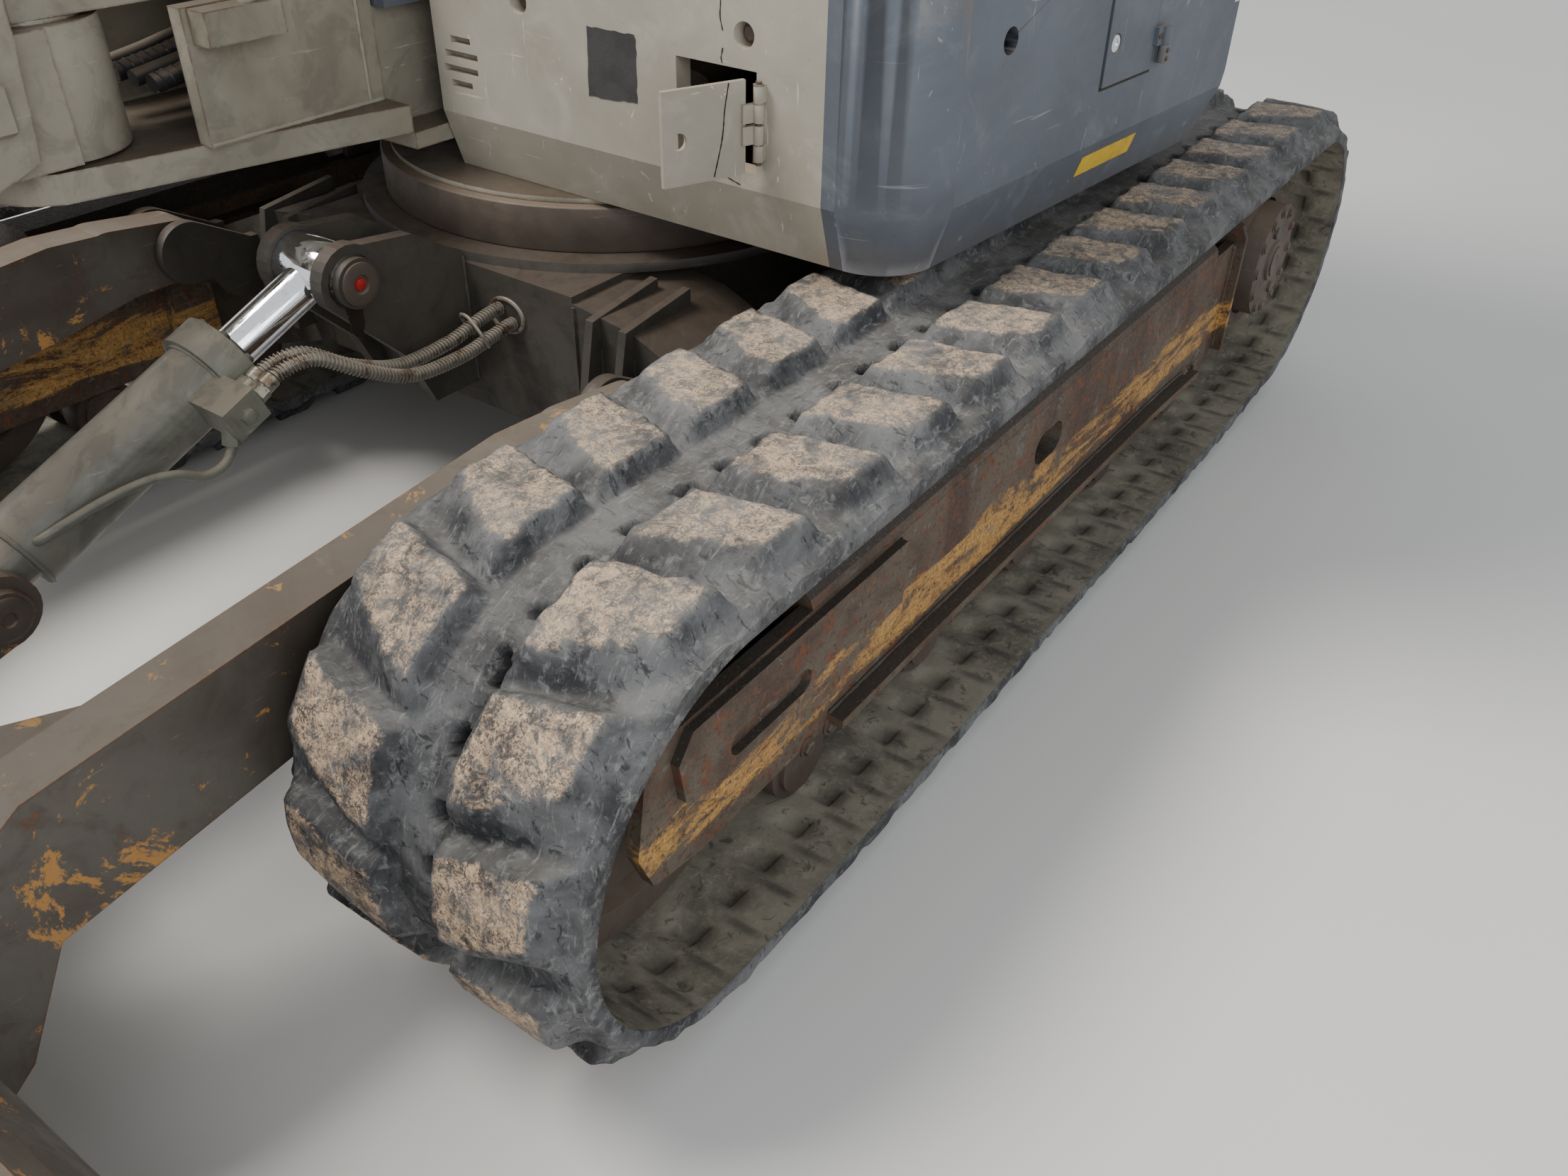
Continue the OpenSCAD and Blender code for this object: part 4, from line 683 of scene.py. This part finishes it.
class Bits:
    """Gathers closed forms into one piece."""

    def __init__(self):
        self.v, self.f = [], []

    def rings(self, rings):
        """A closed form through rings of points"""
        n, first = len(rings[0]), len(self.v)
        self.v.extend(np.concatenate(rings).astype(float).tolist())
        self.f.append([first + k for k in range(n)][::-1])
        for i in range(len(rings) - 1):
            for k in range(n):
                a, b = first + i * n + k, first + i * n + (k + 1) % n
                self.f.append([a, b, b + n, a + n])
        last = first + (len(rings) - 1) * n
        self.f.append([last + k for k in range(n)])
        return self

    def tube(self, path, r, sides=12, rough=0.0):
        t, u, w = axes_along(path)
        r = np.broadcast_to(r, len(path)).astype(float)
        if rough:
            r = r * (1 + rough * rng.uniform(-1, 1, len(path)))
        a = np.arange(sides) * 2 * math.pi / sides
        self.rings([path[k] + r[k] * (np.cos(a)[:, None] * u[k] + np.sin(a)[:, None] * w[k])
            for k in range(len(path))])

    def weld(self, points, r, step=8, rough=0.25):
        """An uneven bead along the points"""
        self.tube(fine_path(points, step), r, 6, rough)

    def coil(self, path, radius, wire, pitch, steps=10):
        """A wire wound round a path, with so many points a turn"""
        t, u, w = axes_along(path)
        length = np.concatenate([[0], np.cumsum(np.linalg.norm(np.diff(path, axis=0), axis=1))])
        s = np.linspace(0, length[-1], int(length[-1] / pitch * steps))
        a = s / pitch * 2 * math.pi

        def at(q):
            return np.stack([np.interp(s, length, q[:, i]) for i in range(3)], -1)
        self.tube(at(path) + radius * (np.cos(a)[:, None] * at(u) + np.sin(a)[:, None] * at(w)), wire, 5)

    def lathe(self, place, axis, rings, sides=24, turn=0.0):
        """A turned form: rings are pairs of radius and height along the axis"""
        z = np.array(axis, float) / np.linalg.norm(axis)
        x = np.cross(z, (0, 0, 1) if abs(z[2]) < 0.9 else (1, 0, 0))
        x /= np.linalg.norm(x)
        y = np.cross(z, x)
        a = np.arange(sides) * 2 * math.pi / sides + turn
        ring = np.cos(a)[:, None] * x + np.sin(a)[:, None] * y
        self.rings([np.array(place) + h * z + r * ring for r, h in rings])

    def bolt(self, place, axis, r, turn=0.3):
        """A washer with a six-sided head"""
        self.lathe(place, axis, [(r * 1.35, -0.5), (r * 1.35, 1.8), (r * 1.2, 2.4)], 20)
        self.lathe(place, axis, [(r, 1.5), (r, 0.55 * r), (0.82 * r, 0.72 * r), (0.3 * r, 0.72 * r)], 6,
            turn)

    def cap_screw(self, place, axis, r):
        """A round head with a socket"""
        self.lathe(place, axis, [(r, -1), (r, 0.9 * r), (0.86 * r, 1.05 * r), (0.55 * r, 1.05 * r),
            (0.5 * r, 0.45 * r), (0.1 * r, 0.45 * r)], 16)

    def plate(self, outline, origin, ux, uy, t):
        """A thin plate: its outline in a plane, and its thickness out of that plane"""
        ux, uy = np.array(ux, float), np.array(uy, float)
        base = np.array([np.array(origin) + a * ux + b * uy for a, b in outline])
        self.rings([base, base + t * np.cross(ux, uy)])

    def box(self, lo, hi, r=3):
        """A box with chamfered edges"""
        (x0, y0, z0), (x1, y1, z1) = lo, hi
        rings = []
        for z, d in ((z0, r), (z0 + r, 0), (z1 - r, 0), (z1, r)):
            c = r + d
            rings.append(np.array([(x0 + c, y0 + d, z), (x1 - c, y0 + d, z), (x1 - d, y0 + c, z),
                (x1 - d, y1 - c, z), (x1 - c, y1 - d, z), (x0 + c, y1 - d, z), (x0 + d, y1 - c, z),
                (x0 + d, y0 + c, z)]))
        self.rings(rings)

    def make(self, name, mat, body, replaces=None):
        o = make_object(name, np.array(self.v) / 1000, self.f, [mat], body)
        o.data.set_sharp_from_angle(angle=math.radians(38))
        if replaces:
            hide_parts(replaces)
        return o


# Undercarriage

BLADE_PIN, ROD_PIN = np.array((1215, 0, 335)), np.array((635, 0, 566))
ALONG = (ROD_PIN - BLADE_PIN) / np.linalg.norm(ROD_PIN - BLADE_PIN)
UPWARD = np.array((ALONG[2], 0, -ALONG[0]))
HOSE_R, HOSE_GAP, SPRING_R, SPRING_WIRE, SPRING_PITCH = 7.8, 26, 9.2, 1.6, 5.6
GLAND, GLAND_SCREWS, GLAND_SCREW_RING = 439.5, 8, 52
SPROCKET_X, SPROCKET_Z, HUB_Y, HUB_BOLTS, HUB_BOLT_RING = -930, 312, 927.9, 12, 98
# Height of the roller bolts' row, and its rise towards the front
BOLT_ROW_Z, BOLT_ROW_RISE = 172.5, 0.00002


def on_barrel(s, y, h):
    """A point beside the blade's cylinder, at a length along it from its lower pin"""
    return BLADE_PIN + s * ALONG + np.array((0, y, 0)) + h * UPWARD


def hoses():
    """The two hoses to the blade's cylinder in their springs"""
    springs, ends = Bits(), Bits()
    for k in (0, 1):
        y = 140 + HOSE_GAP * k
        path = fine_path([(430.3, y, 474 - 18 * k), (445, y, 474 - 18 * k), (480, y, 469 - 18 * k),
            (540, y - 1, 456 - 14 * k), (630, y - 6, 454 - 8 * k), (700, y - 18, 478), (755, y - 42, 510),
            (800, y - 59, 503), (844, y - 59, 485.3)])
        springs.tube(path, HOSE_R, 10)
        springs.coil(path[:-5], SPRING_R, SPRING_WIRE, SPRING_PITCH)
        d = (path[-1] - path[-6]) / np.linalg.norm(path[-1] - path[-6])
        ends.lathe(path[-1] - 36 * d, d, [(10, 0), (12.5, 2), (12.5, 18), (10.5, 20)])
        ends.lathe(path[-1] - 17 * d, d, [(12.5, 0), (14.5, 1), (14.5, 15), (12.5, 17)], 6)
    for bits, name, mat in ((springs, "blade_hose_springs", "spring"), (ends, "blade_hose_ends", "zinc")):
        o = bits.make(name, mat, None, "blade_hoses")
        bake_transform(o)


def barrel_details():
    """Pipe, gland screws and welds of the blade's cylinder"""
    z, b, w = Bits(), Bits(), Bits()
    pipe = fine_path([on_barrel(*p) for p in (
        (352, 94, -20), (338, 96, -38), (312, 99, -47), (284, 98, -38),
        (262, 95, -12), (230, 86, 6), (180, 73, 18), (130, 62, 24),
        (98, 54, 26), (92, 48, 24))])
    z.tube(pipe, 6.5)
    z.lathe(pipe[0], pipe[0] - pipe[3], [(12.5, -20), (12.5, 6), (10, 8)], 6)
    z.lathe(on_barrel(372, 121, 0), (0, 1, 0), [(11, -1), (11, 9), (8, 11)], 6)
    z.lathe(on_barrel(360, 100, -24), -UPWARD, [(10, -2), (10, 8), (8, 10)], 6)
    z.make("barrel_pipe", "cylinder", "blade_barrel")
    for k in range(GLAND_SCREWS):
        a = k * 2 * math.pi / GLAND_SCREWS + 0.2
        place = on_barrel(GLAND, GLAND_SCREW_RING * math.cos(a), GLAND_SCREW_RING * math.sin(a))
        b.cap_screw(place, ALONG, 7.5)
    b.lathe(on_barrel(GLAND, 0, 0), ALONG, [(41, 0), (41, 6), (37, 12), (31.5, 12)], 40)
    b.make("gland_screws", "dark", "blade_barrel")
    for s, r in ((394.5, 55.5), (72.5, 54.8)):
        ring = [on_barrel(s, r * math.cos(a), r * math.sin(a)) for a in np.linspace(0, 2 * math.pi, 61)[:-1]]
        w.tube(np.array(ring + ring[:1]), 2.8, 6, 0.25)
    w.make("barrel_welds", "cylinder", "blade_barrel")


def carbody_details():
    """Dished and greased pin faces, the hoses' hole with its wire tie, and welds"""
    x, _, z = ROD_PIN
    d, g, r, c, w = Bits(), Bits(), Bits(), Bits(), Bits()
    for y in (-1, 1):
        d.lathe((x, y * 86.2, z), (0, y, 0), [(31, -1), (31, 3), (28, 4.5), (14, 4.5), (12, 1), (2, 1)], 36)
    d.make("pin_faces", "cast", "undercarriage")
    for y in (-1, 1):
        g.tube(np.array([(x + 36.5 * math.cos(a), y * 70.5, z + 36.5 * math.sin(a))
            for a in np.linspace(0, 2 * math.pi, 40)]), 3.5, 6, 0.35)
        run = rough_edge([(-16, 0), (14, 0), (10, -40), (-4, -56), (-12, -35)], 6, 1.8)
        g.plate(run, (640, y * 70.3, 532), (1, 0, 0), (0, 0, 1), -y * 1.2)
    g.make("pin_grease", "grease", "undercarriage")
    for y in (-1, 1):
        r.lathe((x, y * 86.8, z), (0, y, 0), [(9.5, 0), (8.5, 2.8), (4, 4)], 14)
    r.make("pin_marks", "red", "undercarriage")
    c.tube(np.array([(431.2, 153 + 34 * math.cos(a), 465 + 26 * math.sin(a))
        for a in np.linspace(0, 2 * math.pi, 36)]), 3.5, 8)
    c.tube(fine_path([(431.2, 120, 430), (470, 120, 440), (500, 128, 482), (506, 150, 488), (508, 176, 470),
        (500, 182, 446)]), 2.6, 8)
    c.make("hose_tie", "spring", "undercarriage")
    for side in (-1, 1):
        for x, y, heights, r in ((210, 292.5, (302, 400, 515), 4.2), (430, 292.5, (302, 400, 515), 4.2),
                (431.5, 330, (325, 400, 465), 3.6), (431.5, 344, (325, 400, 465), 3.6),
                (431.5, 392, (325, 400, 465), 3.6), (431.5, 406, (325, 400, 465), 3.6),
                (431.5, 46, (335, 440, 540), 4), (431.5, 70, (335, 440, 540), 4)):
            w.weld([(x, side * y, h) for h in heights], r)
    w.make("carbody_welds", "carbody", "undercarriage")


def frame_details():
    """Roller bolts, hub bolts, covers, plugs and welds on the outer sides of the track frames"""
    b, w = Bits(), Bits()
    for side in (-1, 1):
        out = (0, side, 0)
        for x in (-640, -315, 10, 335, 660):
            for dx in (-26, 26):
                b.bolt((x + dx, side * 888.2, BOLT_ROW_Z + BOLT_ROW_RISE * x), (0, side, -0.05), 11,
                    0.3 + x / 1000)
        for k in range(HUB_BOLTS):
            a = k * 2 * math.pi / HUB_BOLTS
            b.bolt((SPROCKET_X + HUB_BOLT_RING * math.cos(a), side * HUB_Y,
                SPROCKET_Z + HUB_BOLT_RING * math.sin(a)), out, 8.5, a)
        b.lathe((SPROCKET_X, side * 933.8, SPROCKET_Z), out, [(30, -1), (30, 3), (14, 3), (12, 1), (2, 1)],
            30)
        for x, z in ((-905, 376), (-955, 248)):
            b.lathe((x, side * HUB_Y, z), out, [(12, -1), (12, 6), (10, 7)], 6)
        b.lathe((930, side * 840.2, 308), out, [(30, -1), (30, 3), (10, 4)], 24)
        w.weld([(x, side * 889, z) for x, z in ((-640, 176.5), (-400, 187.5), (400, 197.5), (640, 197.5))],
            3.5, 10)
        # The small fraction keeps the number of the weld's points, and so every random draw after it
        w.weld([(484.5, side * 889, z) for z in (274, 329.9999, 382)], 3.5)
        w.weld([(-772.5, side * 888.5, z) for z in (172, 300, 384)], 4)
    b.make("track_frame_bolts", "cast", "undercarriage")
    w.make("track_frame_welds", "frame_paint", "undercarriage")


def blade_details():
    """Welds of the blade's arms, pin heads, and the bolts of its edge"""
    w, b = Bits(), Bits()
    for side in (-1, 1):
        out = (0, side, 0)
        for y in (480, 547):
            w.weld([(x, side * y, z) for x, z in ((1529, 168), (1530.5, 250), (1530.5, 395))], 4.5)
        # Again a small fraction for the number of points
        w.weld([(x, side * 479.5, 438.5) for x in (1200, 1360.0001, 1520)], 4)
        b.lathe((560, side * 573.5, 455), out, [(33, -1), (33, 6), (29, 9), (10, 9)], 30)
        b.bolt((560, side * 573.8, 413), out, 9)
        b.lathe((1215, side * 84.2, 335), out, [(29, -1), (29, 3), (26, 5), (10, 5), (8, 2), (1, 2)], 30)
    w.make("blade_welds", "arm_steel", "blade")
    for k in range(9):
        b.lathe((1570.2, -880 + 220 * k, 85), (1, 0, 0.24),
                [(13, -4), (13, 1), (9, 2), (7, 0.5), (1, 0.5)], 18)
    b.make("blade_pins", "cast", "blade")


# House

# The house's side: its front corner, its turn inwards to the rear, and its directions back to front and out
FLANK, FLANK_TURN = (224.623, 783.426), math.radians(4.8)
FLANK_X = np.array((math.cos(FLANK_TURN), -math.sin(FLANK_TURN), 0))
FLANK_OUT = np.array((math.sin(FLANK_TURN), math.cos(FLANK_TURN), 0))
PANEL_X, PATCH_T, FLAP_HINGE, FLAP_OPEN = 330.1, 0.6, (339, 555), math.radians(68)


def flank(x, out, z):
    """A point at the house's side: x forwards from its front corner, out of it, and up"""
    return np.array((*FLANK, z)) + x * FLANK_X + out * FLANK_OUT


def flap_point(u, v, z):
    """A point of the open small front door: u across it from its hinge, v out of it, and up"""
    c, s = math.cos(FLAP_OPEN), math.sin(FLAP_OPEN)
    return np.array((FLAP_HINGE[0] - u * s - v * c, FLAP_HINGE[1] + u * c - v * s, z))


def house_details():
    """Patch, cracks, blank label, stripe, bolts, hinge rings, lock, screws and welds of the house"""
    p, c, k, lab, st, b, h, lock, d, w = (Bits() for _ in range(10))
    p.plate(rough_edge([(258, 785), (346, 790), (348, 872), (345, 878), (262, 877)], 8, 1.2),
        (PANEL_X, 0, 0), (0, 1, 0), (0, 0, 1), PATCH_T)
    p.make("panel_patch", "patch", "house")
    for line in ([(486, 958), (489, 940), (488, 921), (492, 905)], [(492, 884), (489, 872), (491, 866)],
            [(395, 727), (430, 723), (470, 727), (520, 716)]):
        c.tube(fine_path([(PANEL_X, y, z) for y, z in line], 4), 0.8, 5, 0.4)
    c.make("panel_cracks", "crack", "house")
    k.tube(fine_path([flap_point(u, 6.8, z) for u, z in ((-40, 857), (-46, 825), (-50, 790), (-62, 744))],
        4), 0.9, 5, 0.3)
    k.make("flap_crack", "crack", "front_flap")
    foot, head = flank(-523, -15.3, 664), flank(-523, -5.4, 695)
    lab.plate([(0, 0), (1, 0), (1, 1), (0, 1)], foot + 0.4 * FLANK_OUT, 169 * FLANK_X, head - foot,
        -0.6 / 5500)
    lab.make("blank_label", "label", "house")
    st.plate([(0, 0), (21, 0), (21, 190), (10, 200), (0, 190)], flank(-819, 0.3, 845), FLANK_X, (0, 0, 1),
        -0.6)
    st.make("white_stripe", "stripe", "house")
    for y, z in ((136, 890), (525, 904)):
        b.bolt((310.2, y, z), (1, 0, 0), 10.5)
    b.bolt(flank(-98, -22.6, 901), FLANK_OUT, 10.5)
    b.lathe((*FLAP_HINGE, 751), (0, 0, 1), [(4, 0), (4, 105)], 12)
    for z in (807, 819, 963, 975):
        b.lathe(flank(-534, 9.5, z), FLANK_OUT, [(4, 6), (4, 9), (3, 10)], 10)
    b.make("house_bolts", "cast", "house")
    for z in (754.6, 776.8, 828.6, 850.8):
        h.lathe((*FLAP_HINGE, z), (0, 0, 1), [(7.4, 0), (7.4, 1.6)], 20)
    h.make("hinge_rings", "spring", "house")
    lock.lathe(flank(-391, -9.2, 849), FLANK_OUT, [(13.2, 0), (13.2, 8.5), (11.8, 10), (6, 10), (5.5, 8.5),
        (0.8, 8.5)], 32)
    lock.make("door_lock", "chrome", "side_door")
    for z in (839.3, 942.7):
        for x in (-516, -524):
            d.lathe(flank(x, 8.6, z), FLANK_OUT, [(3.5, 0), (3.5, 2), (2, 2.5)], 10)
    d.make("door_screws", "cast", "side_door")
    for y in (-130, -105, -415, -390):
        w.weld([(x, y, 731.5) for x in (392, 550, 688)], 4.2)
        w.weld([(416.5, y, z) for z in (733, 820, 903)], 4)
    w.weld([(x, -104.5, 859) for x in (562, 620, 678)], 3.6)
    w.make("nose_welds", "arm_paint", "house")


def nose_hoses():
    """Four hoses from the nose towards the swing post, every second one wrapped"""
    h, wrap = Bits(), Bits()
    for k in range(4):
        path = fine_path([(417, -320 + 40 * k, 820), (480, -322 + 41 * k, 826), (560, -324 + 43 * k, 822),
            (630, -325 + 44 * k, 810), (700, -326 + 44 * k, 800)])
        h.tube(path, 13 if k % 2 else 11.5, 14)
        if k % 2:
            wrap.coil(path, 12.6, 1.6, 14, 14)
        h.lathe(path[0], (1, 0, 0), [(13.8, 0), (13.8, 30), (12.5, 34)], 20)
    h.make("nose_hoses", "hose", "house", "bracket_hoses")
    wrap.make("nose_hose_wraps", "plastic", "house", "bracket_hoses")


def bracket_details():
    """A boss and the boom's pin heads on the swing post"""
    b, s = Bits(), Bits()
    b.box((925, -130.2, 800), (985, -112, 860), 5)
    b.make("bracket_boss", "arm_paint", "swing_post")
    for y, side in ((-113.8, 1), (-406.2, -1)):
        s.lathe((950, y, 1000), (0, side, 0), [(31, -1), (31, 5), (26, 8), (12, 8)], 30)
        s.bolt((950, y - 0.2 * side, 971), (0, side, 0), 8)
    s.make("bracket_pins", "cast", "swing_post")


# Boom, with places along it from its foot pin, to its left and out of its line

BOOM_TURN, BOOM_FOOT = math.radians(18.27), np.array((950, -260, 1000))
BOOM_X = np.array((math.cos(BOOM_TURN), 0, math.sin(BOOM_TURN)))
BOOM_Z = np.array((-math.sin(BOOM_TURN), 0, math.cos(BOOM_TURN)))


def on_boom(x, y, z):
    return BOOM_FOOT + x * BOOM_X + np.array((0, y, 0)) + z * BOOM_Z


def boom_details():
    """Pipes with clamps on the boom's back, seams along its sides, pin heads and its lamp's lens"""
    lines, clamps, w, b, lamp = (Bits() for _ in range(5))
    for y in (-60, -20, 20, 60):
        path = fine_path([on_boom(x, y, z) for x, z in (
            (330, 385), (420, 440), (620, 568), (800, 682), (1000, 757),
            (1100, 771), (1150, 776))], 12)
        lines.tube(path, 8.5, 12)
        for end, d in ((path[0], path[3] - path[0]), (path[-1], path[-4] - path[-1])):
            lines.lathe(end, d, [(12, 0), (12, 16), (10, 18)], 6)
    lines.make("boom_pipes", "hose", "boom", "boom_lines")
    for x, z in ((520, 495), (900, 707)):
        clamps.box(on_boom(x, -78, z) - (16, 0, 4), on_boom(x, 78, z) + (16, 0, 22))
    clamps.make("boom_clamps", "plastic", "boom")
    for y in (-100.3, 100.3):
        w.weld([on_boom(x, y, z) for x, z in ((300, 118), (600, 266), (900, 378), (1060, 438), (1230, 470),
            (1400, 440), (1900, 230), (2400, 22))], 2.2, 20, 0.2)
    w.make("boom_seams", "arm_paint", "boom")
    for side in (1, -1):
        for x, z, r in ((2800, 0, 34), (1130, 355, 29)):
            b.lathe(on_boom(x, 112 * side, z), (0, side, 0), [(r, -1), (r, 4), (r - 4, 7), (10, 7)], 30)
    for side in (1, -1):
        b.bolt(on_boom(2800, 98.5 * side, 58), (0, side, 0), 9)
    b.make("boom_pins", "cast", "boom")
    lamp.lathe(on_boom(1140, 159.2, 600), (0, 1, 0), [(34, 0), (34, 2), (28, 2.8), (10, 3.4)], 30)
    lamp.make("boom_lamp_lens", "lamp", "boom")


# Cab

CAB_MID = 370
# The cushions' voxel size in metres, cloth pressure and steps, and a sewn channel's width and depth
VOXEL, PRESSURE, CLOTH_STEPS, CHANNEL_W, CHANNEL_D = 0.0075, 4.0, 20, 7, 6
FOLDS, BASE_Z, BASE_H = 18, 1125.2, 204.6


def vectors(mesh, key="co"):
    v = np.empty(len(mesh.vertices) * 3)
    mesh.vertices.foreach_get(key, v)
    return v.reshape(-1, 3)


def puff(o, cap):
    """Blows a cushion up with Blender's cloth, each point by no more than the cap"""
    before = vectors(o.data)
    m = o.modifiers.new("cloth", "CLOTH")
    m.settings.use_pressure = True
    m.settings.uniform_pressure_force = PRESSURE
    m.settings.effector_weights.gravity = 0
    m.collision_settings.use_collision = False
    for k in range(1, CLOTH_STEPS + 1):
        scene.frame_set(k)
    blown = o.evaluated_get(bpy.context.evaluated_depsgraph_get())
    move = vectors(blown.to_mesh()) - before
    blown.to_mesh_clear()
    o.modifiers.remove(m)
    scene.frame_set(1)
    length = np.linalg.norm(move, axis=1)[:, None]
    move *= np.minimum(1, cap / 1000 / np.maximum(length, 1e-9))
    o.data.vertices.foreach_set("co", (before + move).ravel())
    o.data.update()


def cushion(name, outline, half_w, inset, cap, channels, lo, hi):
    """A pad from an outline in x and z, with sewn channels along it, kept between lo and hi"""
    mid = np.mean(outline, axis=0)
    shape = [mid + (np.array(p) - mid) * inset for p in outline]
    rings = []
    for y, k in ((-1, 0.90), (-0.93, 1), (0.93, 1), (1, 0.90)):
        rings.append(np.array([(mid[0] + (p[0] - mid[0]) * k, CAB_MID + y * (half_w - 12),
            mid[1] + (p[1] - mid[1]) * k) for p in shape]))
    o = Bits().rings(rings).make(name, "cloth", "house", "chair")
    m = o.modifiers.new("remesh", "REMESH")
    m.mode, m.voxel_size, m.use_smooth_shade = "VOXEL", VOXEL, True
    mesh = bpy.data.meshes.new_from_object(o.evaluated_get(bpy.context.evaluated_depsgraph_get()))
    o.modifiers.clear()
    old, o.data = o.data, mesh
    bpy.data.meshes.remove(old)
    if not o.data.materials:
        o.data.materials.append(MATS["cloth"])
    puff(o, cap)
    v, outwards = vectors(o.data) * 1000, vectors(o.data, "normal")
    pull = np.zeros(len(v))
    for y in channels:
        pull = np.maximum(pull, np.exp(-((v[:, 1] - CAB_MID - y) / CHANNEL_W) ** 2))
    v -= outwards * (CHANNEL_D * pull)[:, None]
    o.data.vertices.foreach_set("co", np.clip(v, lo, hi).ravel() / 1000)
    o.data.polygons.foreach_set("use_smooth", [True] * len(o.data.polygons))
    o.data.update()
    sub = o.modifiers.new("fine", "SUBSURF")
    sub.levels = sub.render_levels = 1


def chair():
    """Three cushions, the head rest's posts, and a sprung base with its folds of rubber"""
    y0, y1 = CAB_MID - 235, CAB_MID + 235
    cushion("seat_cushion", [(-420, 1330), (60, 1330), (85, 1370), (70, 1425), (20, 1440), (-420, 1415)],
        235, 0.93, 16, (-130, 130), (-420, y0, 1331), (85, y1, 1440))
    cushion("back_cushion", [(-440, 1445), (-350, 1455), (-375, 1800), (-410, 1950), (-465, 1960),
        (-485, 1930)], 225, 0.92, 14, (-120, 120), (-490, y0 + 10, 1405), (-340, y1 - 10, 1970))
    cushion("head_cushion", [(-478, 1990), (-412, 1990), (-420, 2115), (-470, 2115)],
        130, 0.90, 10, (), (-480, CAB_MID - 130, 1985), (-410, CAB_MID + 130, 2120))
    b, s = Bits(), Bits()
    for y in (-60, 60):
        b.lathe((-444, CAB_MID + y, 1945), (0, 0, 1), [(5.5, 0), (5.5, 60)], 14)
    b.make("head_posts", "chrome", "house", "chair")
    rings, r = [], 30
    for k in range(FOLDS + 1):
        d = 0 if k in (0, FOLDS) else 20 if k % 2 else 6
        x0, x1, ya, yb = -400 + d, -40 - d, CAB_MID - 180 + d, CAB_MID + 180 - d
        rings.append(np.array([(cx + r * math.cos(math.radians(a)), cy + r * math.sin(math.radians(a)),
            BASE_Z + BASE_H * k / FOLDS)
            for cx, cy, start in ((x1 - r, yb - r, 0), (x0 + r, yb - r, 90),
                (x0 + r, ya + r, 180), (x1 - r, ya + r, 270))
            for a in range(start, start + 91, 30)]))
    s.rings(rings)
    s.make("seat_base", "plastic", "house", "chair")


def cab_details():
    """Rubbers of two right windows, the door handle's plate, wiper and the lenses of the roof lamps"""
    g, p, w, lens = (Bits() for _ in range(4))
    for outline in (((-556, 1424), (-44, 1424), (-44, 2326), (-526, 2326)),
            ((34, 1334), (258, 1334), (246, 1700), (162, 2326), (34, 2326))):
        pts = [(x, -55.5, z) for x, z in rounded(outline, 30)]
        g.tube(np.array(pts + pts[:2]), 4.5, 8)
    g.make("window_gaskets", "gasket", "house")
    p.box((142, 796.5, 1582), (213, 804.5, 1620))
    p.make("door_handle_plate", "plastic", "door")
    w.tube(fine_path([(321.5, 240, 1345), (320, 300, 1500), (313, 352, 1660)], 10), 4, 8)
    w.lathe((322.5, 240, 1335), (1, 0, 0.05), [(16, -18), (16, 0), (10, 6)], 20)
    w.make("wiper", "plastic", "house")
    for y in (60, 600):
        lens.box((58.5, y + 8, 2538), (60, y + 82, 2586), 0.6)
    lens.make("roof_lamp_lenses", "lamp", "house")


make_camera()
make_light()
make_floor()
materials()
dress_nodes()
build_track(1, "belt_left", "track_left", 5)
build_track(-1, "belt_right", "track_right", 41)
hoses()
barrel_details()
carbody_details()
frame_details()
blade_details()
house_details()
nose_hoses()
bracket_details()
boom_details()
chair()
cab_details()
